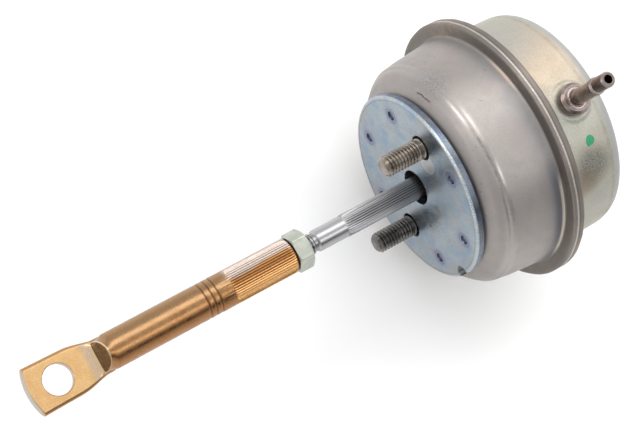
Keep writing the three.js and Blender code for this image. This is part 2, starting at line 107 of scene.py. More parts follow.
FACE_X = housing_high[0]
FLANGE_R = housing_high[2]
FLANGE_REAR_X = housing_low[0]
FLANGE_FRONT_X = FLANGE_REAR_X + 3.6
BODY_END_R = 34.6  # the front housing's body where the flange starts
WALL = 1.2
RIDGE_X = -6.95  # the front ridge of the shoulder, in front of its crease
CREASE_X = -7.5
SHOULDER_R = 32.4

CAP_R = 32.8
CAP_END_X = cap_low[0]
CAP_CORNER_R = 5.0
CAP_FLANGE_R = 37.6
CAP_SPREAD_X = -32  # where the cap is 0.3 mm wider than at its rounded corner

NIPPLE_X = (nipple_low[0] + nipple_high[0]) / 2
NIPPLE_TIP_Z = nipple_high[2]
NIPPLE_SEAT_Z = 33.7
COLLAR_R = nipple_high[1]
TUBE_R = 2.2
BORE_R = 1.1
BOSS_R = 5.7

STUD_R = 3.0
STUD_HEAD_X, STUD_TIP_X, _ = span("stud_upper")
UPPER_STUD, LOWER_STUD = (sum(box_mm(node))[1:] / 2 for node in ("stud_upper", "stud_lower"))
STUD_TURN = math.degrees(math.atan2(UPPER_STUD[1], UPPER_STUD[0]))
THREAD_PITCH = 1.0

ROD_R = 3.25
SPLINE_COUNT = 30
SPLINE_DEPTH = 0.32
SPLINE_END_X = 24.8
ROD_PLAIN_R = 3.1
ROD_NECK_X = 34.0
ROD_THREAD_R = 2.95
SPIGOT_R = 2.5

NUT_REAR_X, NUT_FRONT_X = nut_low[0], nut_high[0]
NUT_FLATS = nut_high[2] - nut_low[2]

END_X = end_low[0]
END_TIP_X = end_high[0]
END_R = 5.0
END_BORE_R = 3.25
END_BORE_X = END_X + 39.8
KNURL_TEETH = 44
KNURL_DEPTH = 0.3
KNURL_END_X = 61.8
GROOVE_XS = [66.3, 68.1, 69.9]
STEP_X = 100.3
STEP_LEAN = 1.3  # how far the step's wall leans back over its height
PRESS_LENGTH = 7.0  # of tube, before the step, that the pressing has drawn out of round
EYE_X = 112.4
EYE_HOLE_R = 4.15
EYE_HALF_WIDTH = 5.6
EYE_SWELL = 1.0
FLAT_TOP_Z = -2.9
FLAT_BOTTOM_Z = end_low[2]

GREEN_DOT_ANGLE = math.radians(69.6)
GREEN_DOT_X = -37.5
GREEN_DOT_R = 1.5


# ---- Mesh tools ----
def rounded(points, steps=5):
    """A profile with its corners rounded: (x, r) stays sharp and (x, r, radius) becomes an arc."""
    corners = [np.array(p[:2], float) for p in points]
    closed = points[0][1] > 0
    smooth = []
    for i, point in enumerate(points):
        corner = corners[i]
        inside = closed or 0 < i < len(points) - 1
        if len(point) < 3 or not inside:
            smooth.append(corner)
            continue
        back = corners[i - 1] - corner
        ahead = corners[(i + 1) % len(points)] - corner
        reach_back, reach_ahead = np.linalg.norm(back), np.linalg.norm(ahead)
        back, ahead = back / reach_back, ahead / reach_ahead
        half = math.acos(np.clip(back @ ahead, -1, 1)) / 2
        cut_length = min(point[2] / math.tan(half), 0.49 * reach_back, 0.49 * reach_ahead)
        start, end = corner + back * cut_length, corner + ahead * cut_length
        for t in np.linspace(0, 1, steps + 1):
            smooth.append((1 - t) ** 2 * start + 2 * t * (1 - t) * corner + t * t * end)
    return np.array(smooth)


def finely(profile, step, closed):
    """The profile with its long stretches cut into lengths of at most step."""
    ends = np.vstack([profile, profile[:1]]) if closed else profile
    fine = []
    for a, b in zip(ends[:-1], ends[1:]):
        count = max(1, math.ceil(np.linalg.norm(b - a) / step))
        fine += [a + (b - a) * i / count for i in range(count)]
    return np.array(fine if closed else fine + [ends[-1]])


def ring_solid(name, rings, closed):
    """A closed mesh through rings of equal length, in millimetres. An open row of rings ends in points."""
    count, around, _ = rings.shape
    i, j = np.meshgrid(np.arange(count if closed else count - 1), np.arange(around), indexing="ij")
    next_i, next_j = (i + 1) % count, (j + 1) % around
    quads = np.stack([i * around + j, i * around + next_j, next_i * around + next_j, next_i * around + j], -1)
    mesh = bpy.data.meshes.new(name)
    mesh.from_pydata((rings.reshape(-1, 3) * MM).tolist(), [], quads.reshape(-1, 4).tolist())
    work = bmesh.new()
    work.from_mesh(mesh)
    bmesh.ops.remove_doubles(work, verts=work.verts, dist=1e-7)
    bmesh.ops.recalc_face_normals(work, faces=work.faces)
    work.to_mesh(mesh)
    work.free()
    piece = bpy.data.objects.new(name, mesh)
    bpy.context.scene.collection.objects.link(piece)
    return piece


def turned(name, points, segments=192, step=2.0, shape=None, steps=5, place=None):
    """A solid turned about the X axis from (x, r) points. shape(x, r, angle) may change the radius."""
    closed = points[0][1] > 0
    profile = finely(rounded(points, steps), step, closed)
    x, r = profile[:, :1], profile[:, 1:]
    angle = np.linspace(0, 2 * math.pi, segments, endpoint=False)[None, :]
    radius = shape(x, r, angle) if shape else r * np.ones_like(angle)
    rings = np.stack([x * np.ones_like(angle), radius * np.cos(angle), radius * np.sin(angle)], -1)
    piece = ring_solid(name, rings, closed)
    if place is not None:
        piece.data.transform(place)
    return piece


def shifted(y, z):
    return Matrix.Translation((0, y * MM, z * MM))


# Turns the X axis onto the nipple's axis.
UPRIGHT = Matrix.Translation((NIPPLE_X * MM, 0, 0)) @ Matrix.Rotation(math.radians(-90), 4, "Y")


def cut(piece, *cutters):
    """Takes the cutters' shapes out of the piece for good, and removes the cutters."""
    for cutter in cutters:
        modifier = piece.modifiers.new("cut", "BOOLEAN")
        modifier.operation = "DIFFERENCE"
        modifier.solver = "EXACT"
        modifier.object = cutter
    bpy.context.view_layer.update()
    evaluated = piece.evaluated_get(bpy.context.evaluated_depsgraph_get())
    mesh = bpy.data.meshes.new_from_object(evaluated)
    piece.modifiers.clear()
    piece.data = mesh
    for cutter in cutters:
        bpy.data.objects.remove(cutter)
    return piece


def fit(piece, body, material, node=None, sharp=32, flats=False):
    """Gives a piece its shading, material and body. flats keeps its broad flat faces evenly shaded."""
    mesh = piece.data
    mesh.shade_smooth()
    mesh.set_sharp_from_angle(angle=math.radians(sharp))
    if flats:
        weighted = piece.modifiers.new("even_flats", "WEIGHTED_NORMAL")
        weighted.keep_sharp = True
    mesh.materials.clear()
    mesh.materials.append(material)
    if node:
        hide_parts(node)
    if body:
        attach(piece, body)
    return piece


def smoothstep(low, high, value):
    t = np.clip((value - low) / (high - low), 0, 1)
    return t * t * (3 - 2 * t)


def polar(radius, degrees):
    return radius * math.cos(math.radians(degrees)), radius * math.sin(math.radians(degrees))


def screw_thread(x, angle, crest_r, start, end, depth=0.58, run_out=0.8):
    """Radius of a rounded metric thread between start and end, running out at start."""
    phase = np.abs(2 * ((x / THREAD_PITCH - angle / (2 * math.pi)) % 1) - 1)
    groove = smoothstep(0.1, 0.9, phase)
    here = smoothstep(start, start + run_out, x) * (x < end)
    return crest_r - depth * groove * here


# ---- Material tools ----
def colour(red, green, blue):
    """A colour as it looks on a screen, 0 to 255, in Blender's linear values."""
    def linear(c):
        c /= 255
        return c / 12.92 if c <= 0.04045 else ((c + 0.055) / 1.055) ** 2.4
    return (linear(red), linear(green), linear(blue), 1)


class Graph:
    """A node tree under construction. Its methods add nodes and return the socket with the result."""

    def __init__(self, tree):
        self.tree = tree

    def feed(self, socket, value):
        if isinstance(value, bpy.types.NodeSocket):
            self.tree.links.new(value, socket)
        elif value is not None:
            socket.default_value = value

    def node(self, kind, *values, **settings):
        """A node with its first input sockets fed in order."""
        made = self.tree.nodes.new("ShaderNode" + kind)
        for key, value in settings.items():
            setattr(made, key, value)
        for socket, value in zip(made.inputs, values):
            self.feed(socket, value)
        return made

    def math(self, operation, a, b=0.0):
        return self.node("Math", a, b, operation=operation).outputs[0]

    def all_of(self, *amounts):
        product = amounts[0]
        for amount in amounts[1:]:
            product = self.math("MULTIPLY", product, amount)
        return product

    def ramp(self, value, low, high, to_low=0.0, to_high=1.0):
        """value from low to high, smoothly mapped to to_low to to_high."""
        made = self.node("MapRange", value, low, high, to_low, to_high, interpolation_type="SMOOTHSTEP")
        return made.outputs[0]


class Look(Graph):
    """A procedural material under construction: its colour so far is base, and its fine relief is height."""

    def __init__(self, name, metallic=1.0):
        self.material = bpy.data.materials.new(name)
        self.material.use_nodes = True
        super().__init__(self.material.node_tree)
        self.shader = self.tree.nodes["Principled BSDF"]
        self.shader.inputs["Metallic"].default_value = metallic
        self.place = self.tree.nodes.new("ShaderNodeTexCoord").outputs["Object"]
        self.base = None
        self.height = 0.0

    def band(self, value, centre, width, soft):
        """1 within width around centre, fading to 0 over soft on each side."""
        distance = self.math("ABSOLUTE", self.math("SUBTRACT", value, centre))
        return self.ramp(distance, width / 2 + soft, width / 2)

    def axis(self, name):
        """The X, Y or Z coordinate in millimetres."""
        split = self.node("SeparateXYZ", self.place)
        return self.math("MULTIPLY", split.outputs[name], 1 / MM)

    def radius(self):
        """The distance from the rod's axis in millimetres."""
        flat = self.node("VectorMath", self.place, (0, 1 / MM, 1 / MM), operation="MULTIPLY").outputs[0]
        return self.node("VectorMath", flat, operation="LENGTH").outputs["Value"]

    def distance(self, x, y, z):
        """The distance from a point in millimetres."""
        away = self.node("VectorMath", self.place, (x * MM, y * MM, z * MM), operation="DISTANCE")
        return self.math("MULTIPLY", away.outputs["Value"], 1 / MM)

    def patch(self, x, radius, degrees, reach, soft=0.6):
        """1 near a place on the can, fading to 0 at reach millimetres."""
        return self.ramp(self.distance(x, *polar(radius, degrees)), reach, reach * (1 - soft))

    def tinted(self, base, amount, strength, *rgb):
        """A colour turned towards a screen colour by strength times amount, or times several amounts."""
        if isinstance(amount, tuple):
            amount = self.all_of(*amount)
        return self.mix(self.scale(amount, strength), base, colour(*rgb))

    def tint(self, amount, strength, *rgb):
        """Turns the material's colour so far towards a screen colour."""
        self.base = self.tinted(self.base, amount, strength, *rgb)

    def spread(self, value, low, high):
        """value, from 0 to 1, mapped to low to high."""
        return self.ramp(value, 0, 1, low, high)

    def noise(self, size, low=0.3, high=0.7, detail=3.0, stretch=(1, 1, 1), turn=(0, 0, 0), seed=0.0):
        """Blotches about size mm across, stretched along each axis, from 0 below low to 1 above high."""
        mapping = self.node("Mapping", self.place, vector_type="POINT")
        mapping.inputs["Location"].default_value = (seed, seed * 0.7, seed * 1.3)
        mapping.inputs["Rotation"].default_value = [math.radians(a) for a in turn]
        mapping.inputs["Scale"].default_value = [1 / (size * MM * s) for s in stretch]
        noise = self.node("TexNoise")
        self.feed(noise.inputs["Vector"], mapping.outputs[0])
        noise.inputs["Scale"].default_value = 1.0
        noise.inputs["Detail"].default_value = detail
        noise.inputs["Roughness"].default_value = 0.55
        return self.ramp(noise.outputs["Fac"], low, high)

    def mix(self, amount, a, b, blend="MIX"):
        """Colour a turned into colour b by amount."""
        made = self.tree.nodes.new("ShaderNodeMix")
        made.data_type = "RGBA"
        made.blend_type = blend
        self.feed(made.inputs[0], amount)
        self.feed(made.inputs[6], a)
        self.feed(made.inputs[7], b)
        return made.outputs[2]

    def uneven(self, size, low, high, **settings):
        """A value that drifts between low and high in blotches about size mm across."""
        return self.spread(self.noise(size, **settings), low, high)

    def clouds(self, first, second, size, low=0.35, high=0.65, **settings):
        """Two screen colours in cloudy patches about size mm across."""
        return self.mix(self.noise(size, low, high, **settings), colour(*first), colour(*second))

    def scale(self, amount, factor):
        return self.math("MULTIPLY", amount, factor)

    def raise_by(self, amount, millimetres):
        """Adds to the fine relief."""
        self.height = self.math("ADD", self.scale(amount, millimetres), self.height)

    def roughen(self, size, millimetres, detail=3.0, seed=0.0):
        """Adds relief of blotches about size mm across."""
        self.raise_by(self.noise(size, 0.2, 0.8, detail, seed=seed), millimetres)

    def done(self, roughness):
        self.feed(self.shader.inputs["Base Color"], self.base)
        self.feed(self.shader.inputs["Roughness"], roughness)
        if isinstance(self.height, bpy.types.NodeSocket):
            bump = self.tree.nodes.new("ShaderNodeBump")
            bump.inputs["Strength"].default_value = 1.0
            bump.inputs["Distance"].default_value = MM
            self.feed(bump.inputs["Height"], self.height)
            self.feed(self.shader.inputs["Normal"], bump.outputs[0])
        return self.material


# ---- Materials ----
def brushed(look, size, along, low=0.35, high=0.65, seed=0.0):
    """Fine streaks of a drawn or turned surface, along X or round the axis."""
    stretch = (14, 1, 1) if along else (1, 8, 8)
    return look.noise(size, low, high, 2, stretch, seed=seed)


def front_shell_look():
    """Satin drawn steel, warm grey: browner on the flange, with painted highlights along the two shoulder
    ridges and the rim.
    """
    look = Look("front_shell_steel")
    x, r = look.axis("X"), look.radius()
    look.base = look.clouds((160, 155, 152), (168, 162, 158), 16, 0.3, 0.7)
    look.tint(look.noise(7, 0.5, 0.75, seed=3), 0.5, 170, 157, 152)
    look.tint(look.noise(0.4, 0.35, 0.7, 2, seed=7), 0.2, 138, 134, 131)
    # Greyer and bluer towards the flange, with a dull blue band on one side.
    look.tint(look.ramp(x, -17, -23), 0.35, 138, 140, 144)
    blue_side = look.all_of(look.ramp(x, -20, -22.5), look.patch(-23, 34.8, 48, 18))
    look.tint(blue_side, 0.55, 104, 108, 122)
    # Painted shade: darker low on the +Y side, standing in for a dimmer reflection of the floor there.
    shaded_low_side = look.all_of(look.ramp(look.axis("Z"), 14, 2), look.ramp(look.axis("Y"), 20, 30))
    look.tint(shaded_low_side, 0.4, 128, 124, 121)
    # The front slope: duller, smudged at the top, with a dark scratch.
    look.tint(look.ramp(x, -6.9, -6.2), 0.5, 150, 145, 142)
    smudge = look.patch(-6.8, 31.9, 133, 9, 0.9)
    look.tint((smudge, look.noise(0.5, 0.35, 0.65, seed=13)), 0.55, 120, 120, 124)
    wavering = look.math("ADD", r, look.spread(look.noise(2.4, 0.2, 0.8, 1, seed=18), -0.1, 0.1))
    scratch = look.all_of(look.band(wavering, 29.65, 0.14, 0.22), look.patch(-4.5, 29.7, 132, 3.4, 0.3))
    look.tint((scratch, look.noise(0.6, 0.25, 0.45, seed=19)), 0.85, 82, 66, 56)
    # Painted highlights, speckled, along the two ridges where they face forwards, and painted shade in the
    # crease between them.
    speckle = look.spread(look.noise(0.32, 0.3, 0.6, 1, seed=17), 0.55, 1.0)
    for place, turn, reach in ((RIDGE_X, 111, 6.6), (CREASE_X - 0.7, 102, 7.4), (CREASE_X - 0.9, 76, 4.6)):
        near = look.patch(place, SHOULDER_R, turn, reach, 0.8)
        look.tint((look.band(x, place, 0.2, 0.4), near, speckle), 0.65, 222, 219, 214)
    broken = look.uneven(1.2, 0.3, 1, seed=22)
    near = look.patch(CREASE_X, SHOULDER_R, 84, 14, 0.7)
    look.tint((look.band(x, CREASE_X, 0.1, 0.5), broken, near), 0.6, 104, 102, 100)
    # The flange: brown-grey, with tan heat patches on one side.
    flange = look.ramp(x, FLANGE_FRONT_X + 0.5, FLANGE_FRONT_X - 0.1)
    browned = look.clouds((124, 118, 113), (134, 126, 119), 9, 0.4, 0.62, seed=11)
    look.base = look.mix(flange, look.base, browned)
    face = look.all_of(flange, look.ramp(r, FLANGE_R - 0.35, FLANGE_R - 1.35))
    look.tint(face, 0.5, 112, 106, 101)
    tan = look.all_of(look.patch(-24, 36.5, 158, 14, 0.8), look.noise(2, 0.35, 0.7, seed=29), flange)
    look.tint(tan, 0.5, 158, 142, 122)
    # A speckled painted highlight along the rolled rim, and painted shade in the rim's groove behind it.
    rim = look.all_of(look.band(x, FLANGE_FRONT_X - 1.25, 0.2, 0.25), speckle)
    look.tint(rim, 0.8, 206, 200, 194)
    look.tint(look.band(x, FLANGE_FRONT_X - 1.9, 0.1, 0.25), 0.4, 92, 87, 83)
    # Painted highlights: the fillet's thin line catches peach and cream.
    root = look.band(x, FLANGE_FRONT_X + 0.5, 0.35, 0.3)
    root_x, root_r = FLANGE_FRONT_X + 0.6, BODY_END_R + 0.3
    look.tint((root, look.patch(root_x, root_r, 116, 9, 0.9)), 0.6, 224, 196, 176)
    look.tint((root, look.patch(root_x, root_r, 38, 17, 0.4)), 0.8, 216, 206, 194)
    few = look.all_of(look.noise(0.9, 0.68, 0.74, 2, seed=31), look.noise(12, 0.45, 0.65, seed=33))
    look.tint(few, 0.6, 98, 92, 88)
    look.roughen(0.5, 0.010, 4)
    look.roughen(4, 0.006, seed=5)
    roughness = look.uneven(3, 0.5, 0.55, seed=41)
    return look.done(look.math("SUBTRACT", roughness, look.scale(look.band(x, -7.6, 2.4, 0.6), 0.1)))


def rear_shell_look():
    """Zinc with a faint yellow passivation: cream, peach by the nipple, a speckled stained patch on one side
    that is partly a painted dark reflection, and painted shade and reflection at the rear edge.
    """
    look = Look("rear_shell_zinc")
    x, r = look.axis("X"), look.radius()
    look.base = look.clouds((182, 178, 166), (190, 184, 170), 16)
    look.tint(look.noise(7, 0.4, 0.7, seed=3), 0.35, 188, 188, 178)
    look.tint(look.patch(NIPPLE_X + 3, 33, 118, 26, 0.8), 0.6, 214, 192, 168)
    look.tint(look.patch(NIPPLE_X + 3, 33, 86, 13, 0.8), 0.5, 200, 204, 196)
    look.tint(look.patch(-30, 33, 140, 20, 0.8), 0.6, 174, 178, 178)
    look.tint(look.noise(0.4, 0.45, 0.62, 1, seed=5), 0.22, 150, 148, 138)
    # A dull, speckled stained patch with a brown edge, past the paint dot; its darkness is partly a painted
    # reflection of the room's dark band.
    stain_and_reflection = look.patch(NIPPLE_X + 0.5, CAP_R, 57, 8.5, 0.75)
    dots = look.spread(look.noise(0.22, 0.4, 0.6, 1, seed=9), 0.35, 1)
    look.tint((stain_and_reflection, dots), 0.8, 84, 90, 90)
    look.tint(look.patch(-33, CAP_R, 50, 6.5, 0.8), 0.45, 140, 116, 88)
    look.tint(look.patch(-38, CAP_R, 33, 9, 0.8), 0.4, 178, 182, 180)
    # Painted shade: a dark line where the rear corner's rounding starts. Below it, a painted pale blue
    # reflection on the rounding.
    edge_x = CAP_END_X + CAP_CORNER_R - 0.3
    broken = look.uneven(2.5, 0.4, 1, seed=13)
    look.tint((look.band(x, edge_x, 0.3, 0.8), broken), 0.3, 128, 130, 130)
    edge_reflection = look.all_of(look.ramp(x, edge_x, edge_x - 2), look.ramp(r, CAP_R - 7.8, CAP_R - 2.3))
    look.tint(edge_reflection, 0.5, 164, 171, 180)
    # The rear face: cream clouds, faint rings from spinning, and handling scuffs.
    rear = look.ramp(x, CAP_END_X + 1, CAP_END_X + 0.1)
    rings = look.ramp(look.math("SINE", look.scale(r, 5.2)), -1, 1)
    look.tint((rear, rings, look.noise(9, 0.3, 0.7, seed=19)), 0.2, 146, 144, 136)
    scuffs = look.noise(0.7, 0.62, 0.68, 2, (1, 1, 14), (28, 0, 0), seed=21)
    look.tint((rear, scuffs), 0.35, 140, 140, 136)
    look.tint((rear, look.noise(11, 0.45, 0.7, seed=23)), 0.3, 202, 186, 164)
    look.roughen(0.4, 0.008, 3)
    look.roughen(6, 0.008, seed=15)
    return look.done(look.uneven(4, 0.6, 0.66, seed=17))


def plate_look():
    """Blue-passivated zinc with soft pale blue, lilac and grey clouds, and tempered halos round the welds."""
    look = Look("plate_zinc")
    x, r = look.axis("X"), look.radius()
    look.base = look.clouds((152, 165, 174), (164, 174, 178), 9, 0.36, 0.64)
    look.tint(look.noise(5, 0.44, 0.66, seed=3), 0.6, 132, 154, 182)
    look.tint(look.noise(6, 0.48, 0.64, seed=5), 0.55, 166, 161, 158)
    look.tint(look.noise(0.35, 0.4, 0.62, 1, seed=7), 0.3, 118, 128, 138)
    for turn in WELD_ANGLES:
        away = look.distance(-0.2, *polar(WELD_CIRCLE_R, STUD_TURN + turn))
        halo = look.all_of(look.ramp(away, 4.4, 1.6), look.noise(3, 0.2, 0.55, seed=turn))
        look.tint(halo, 0.5, 120, 124, 154)
        look.tint(look.ramp(away, 2.3, 1.9), 0.4, 118, 122, 148)
        look.tint(look.band(away, 2.15, 0.12, 0.2), 0.6, 100, 98, 120)
        # Painted shade: each weld pit a little darker, with a dark painted shadow crescent on one side.
        bowl = look.all_of(look.ramp(away, WELD_R + 0.25, WELD_R), look.ramp(x, -0.02, -0.1))
        look.tint(bowl, 0.6, 112, 120, 138)
        y, z = polar(WELD_CIRCLE_R, STUD_TURN + turn)
        pit_shadow = look.all_of(bowl, look.ramp(look.distance(-0.4, y - 0.2, z + 0.7), 1.0, 1.6))
        look.tint(pit_shadow, 0.85, 54, 58, 76)
    # Grainy painted reflections beside the stud holes and the rod hole, and a pale rubbed mark.
    for y, z in (UPPER_STUD + (1.7, 5.6), LOWER_STUD + (0.4, 14.0), (1.0, 11.9)):
        near = look.ramp(look.distance(0, y, z), 6.4, 1.5)
        look.tint((near, look.noise(0.32, 0.42, 0.58, 2, seed=y)), 0.65, 92, 98, 104)
    mark = look.distance(0, -3.8, 13.6)
    look.tint(look.ramp(mark, 2.9, 2.6), 0.5, 184, 182, 176)
    look.tint(look.band(mark, 2.8, 0.15, 0.2), 0.6, 206, 202, 194)
    look.tint(look.ramp(look.distance(0, 11.2, -3.2), 0.5, 0.3), 0.9, 40, 42, 52)
    # The edge is darker than the face, blued with brown patches. Its burred corner carries a speckled painted
    # highlight, strongest on the lit side, with a brown line inside it.
    edge = look.ramp(x, -0.35, -0.7)
    blued = look.clouds((92, 103, 122), (114, 122, 132), 4, 0.36, 0.64, seed=23)
    blued = look.tinted(blued, look.noise(1.1, 0.52, 0.66, seed=25), 0.5, 112, 98, 82)
    on_edge = look.all_of(edge, look.ramp(r, PLATE_R - 0.6, PLATE_R - 0.2))
    look.base = look.mix(on_edge, look.base, blued)
    burr = look.all_of(look.band(r, PLATE_R - 0.45, 0.4, 0.3), look.ramp(x, -0.8, -0.5))
    speckle = look.spread(look.noise(0.3, 0.4, 0.62, 1, seed=33), 0.1, 1)
    lit_side = look.patch(-0.3, PLATE_R, 84, 26, 0.8)
    burr = look.all_of(burr, speckle, look.spread(lit_side, 0.35, 1))
    look.tint(burr, 0.8, 222, 224, 222)
    notched = look.ramp(look.distance(-1.2, PLATE_R - 1, 0), 3.4, 2.9)
    look.tint((notched, look.ramp(x, -0.1, -0.4)), 0.7, 88, 96, 92)
    look.tint(look.band(r, PLATE_R - 1.2, 0.12, 0.14), 0.75, 146, 128, 110)
    scratches = look.noise(0.5, 0.64, 0.69, 2, (1, 1, 16), (35, 0, 0), seed=51)
    look.tint(scratches, 0.25, 190, 196, 200)
    look.roughen(0.35, 0.007, 3)
    look.roughen(5, 0.004, seed=61)
    return look.done(look.uneven(2.5, 0.32, 0.42, seed=71))


def steel_look(name, pale, dark, roughness=(0.28, 0.42), metallic=1.0, size=2.0, spots=0.5, streaks=True):
    """Plain metal with cloudy tone, fine grain and, if asked, streaks from turning."""
    look = Look(name, metallic)
    look.base = look.clouds(pale, dark, size * 3)
    spotted = look.scale(look.noise(size * 0.25, 0.5, 0.7, 2, seed=3), spots)
    look.base = look.mix(spotted, look.base, colour(*dark))
    look.roughen(size * 0.15, 0.008, 3, seed=5)
    if streaks:
        look.raise_by(brushed(look, 0.12, False, seed=7), 0.006)
    return look.done(look.uneven(size, *roughness, seed=9))


def rod_look():
    """Bright drawn steel, with painted shade in the grooves between the splines, down in the thread and
    towards the housing.
    """
    look = Look("rod_steel")
    x, r = look.axis("X"), look.radius()
    look.base = look.clouds((158, 158, 161), (172, 171, 172), 6, stretch=(4, 1, 1))
    # Painted shade: darker in the grooves between the splines, towards the housing, and down in the thread's
    # roots and the neck.
    splined = look.ramp(x, SPLINE_END_X + 0.5, SPLINE_END_X - 0.5)
    groove = look.all_of(look.ramp(r, ROD_R - 0.06, ROD_R - SPLINE_DEPTH), splined)
    look.tint(groove, 0.6, 104, 103, 105)
    look.tint(look.ramp(x, 4, -3), 0.5, 90, 88, 88)
    thread = look.all_of(look.ramp(x, ROD_NECK_X, ROD_NECK_X + 0.3), look.ramp(r, 2.9, 2.5))
    look.tint(thread, 0.4, 96, 94, 94)
    look.raise_by(look.noise(0.5, 0.2, 0.8, 2, (6, 1, 1), seed=5), 0.003)
    return look.done(look.uneven(3, 0.27, 0.34, stretch=(3, 1, 1), seed=9))


def gold_look():
    """Yellow-bronze plating, paler on its lit -Y side as painted light: silver wear with a painted highlight
    on one side of the knurl, painted shade in hollows and on the step's wall, a painted highlight on the ramp
    past the step, flecked.
    """
    look = Look("gold_plating")
    x, r, y, z = look.axis("X"), look.radius(), look.axis("Y"), look.axis("Z")
    look.base = look.clouds((158, 119, 80), (170, 130, 90), 8, stretch=(2, 1, 1))
    look.tint(look.noise(3, 0.45, 0.7, seed=3), 0.4, 146, 98, 62)
    look.tint(look.noise(0.35, 0.45, 0.62, 1, seed=4), 0.25, 112, 76, 50)
    # Painted light: paler on the lit -Y side, darker and more orange on the +Y side.
    look.tint(look.ramp(y, 0.3, -1.6), 0.7, 150, 121, 90)
    look.tint(look.ramp(y, 0.6, 2.6), 0.4, 150, 102, 64)
    knurled = look.ramp(x, KNURL_END_X + 0.3, KNURL_END_X - 0.2)
    # Painted shade: the knurl's roots darker, here and in the silver wear below.
    low = look.all_of(look.ramp(r, END_R - 0.08, END_R - KNURL_DEPTH), knurled)
    look.tint(knurled, 0.85, 206, 160, 106)
    look.tint(low, 0.75, 136, 92, 54)
    # Silver wear on the -Y side of the knurl, partly a painted highlight on its lit side.
    ragged = look.uneven(4, -0.4, 0.4, stretch=(3, 1, 1), seed=11)
    wear_and_sheen_edge = look.math("ADD", y, ragged)
    wear_and_sheen = look.all_of(look.ramp(wear_and_sheen_edge, -1.1, -2.2), look.ramp(x, KNURL_END_X + 1.5, KNURL_END_X - 1.0))
    silver = look.mix(low, colour(196, 186, 180), colour(138, 122, 114))
    look.base = look.mix(look.scale(wear_and_sheen, 0.9), look.base, silver)
    # Painted shade in the three grooves.
    for groove in GROOVE_XS:
        look.tint(look.band(x, groove, 0.25, 0.15), 0.75, 96, 62, 38)
    # Past the step, measured along the rod from its leaning wall.
    wall_x = look.node("MapRange", z, FLAT_TOP_Z, END_R, 0.3 * STEP_LEAN, -0.7 * STEP_LEAN).outputs[0]
    past = look.math("SUBTRACT", look.math("SUBTRACT", x, STEP_X), wall_x)
    eye = look.ramp(past, -0.04, 0.0)
    flat = look.clouds((222, 178, 122), (228, 186, 130), 4, seed=15)
    flat = look.tinted(flat, look.noise(0.4, 0.42, 0.62, 1, seed=16), 0.2, 206, 178, 140)
    # A painted highlight on the ramp that rises to the step's wall.
    ramp_highlight = look.all_of(look.ramp(x, STEP_X + 0.8, STEP_X + 1.2), look.ramp(x, STEP_X + 4.4, STEP_X + 2.6))
    ramp_highlight = look.all_of(ramp_highlight, look.spread(look.noise(0.5, 0.25, 0.6, 2, seed=17), 0.4, 1))
    flat = look.tinted(flat, ramp_highlight, 0.75, 190, 176, 160)
    flecks = look.noise(0.34, 0.72, 0.77, 0, seed=19)
    flat = look.tinted(flat, flecks, 0.5, 216, 196, 164)
    sides = look.ramp(z, FLAT_TOP_Z - 0.15, FLAT_TOP_Z - 0.6)
    flat = look.tinted(flat, sides, 0.7, 148, 110, 76)
    # Painted shade just under the flat's edge, deepest on the +Y side.
    under_edge_shade = look.all_of(look.band(z, FLAT_TOP_Z - 0.35, 0.2, 0.25), look.ramp(y, -1, 3, 0.35, 1))
    flat = look.tinted(flat, under_edge_shade, 0.8, 84, 56, 34)
    tip = look.all_of(sides, look.ramp(x, END_TIP_X - 1.6, END_TIP_X - 1.1))
    flat = look.tinted(flat, tip, 0.9, 178, 172, 164)
    look.base = look.mix(eye, look.base, flat)
    # Painted shade: the step's wall darker and mottled.
    wall = look.all_of(eye, look.ramp(z, FLAT_TOP_Z + 0.45, FLAT_TOP_Z + 0.6))
    wall_shade = look.clouds((104, 87, 66), (136, 116, 92), 0.5, detail=2, seed=25)
    look.base = look.mix(wall, look.base, wall_shade)
    # A pale deburred edge along the top of the step's wall, with a painted highlight strongest on the lit -Y
    # side.
    rim = look.all_of(look.band(past, -0.06, 0.1, 0.06), look.ramp(z, FLAT_TOP_Z, FLAT_TOP_Z + 0.3))
    rim = look.all_of(rim, look.ramp(y, 3, -1, 0.25, 1))
    look.tint(rim, 0.8, 232, 214, 188)
    hole = look.math("SUBTRACT", look.distance(EYE_X, 0, (FLAT_TOP_Z + FLAT_BOTTOM_Z) / 2), EYE_HOLE_R)
    bore_wall = look.all_of(look.ramp(hole, 0.35, 0.2), look.ramp(z, FLAT_TOP_Z - 0.1, FLAT_TOP_Z - 0.3), eye)
    look.tint(bore_wall, 0.9, 150, 138, 128)
    look.roughen(0.35, 0.007, 3)
    look.roughen(2.5, 0.003, seed=21)
    return look.done(look.uneven(2, 0.24, 0.31, seed=23))


def rubber_look():
    """Black moulded rubber with a faint bloom and the weave of its fabric showing through."""
    look = Look("diaphragm_rubber", 0.0)
    look.base = look.clouds((26, 26, 27), (40, 39, 38), 4)
    look.raise_by(look.noise(0.35, 0.3, 0.7, 2, (1, 1, 3)), 0.02)
    return look.done(look.uneven(1.5, 0.6, 0.8, seed=3))


def paint_look():
    """A dab of green marking paint."""
    look = Look("green_paint", 0.0)
    look.base = look.clouds((32, 140, 92), (52, 156, 108), 0.6, 0.3, 0.7)
    look.raise_by(look.noise(0.4, 0.3, 0.7, 2), 0.02)
    return look.done(look.uneven(0.5, 0.4, 0.55, seed=3))


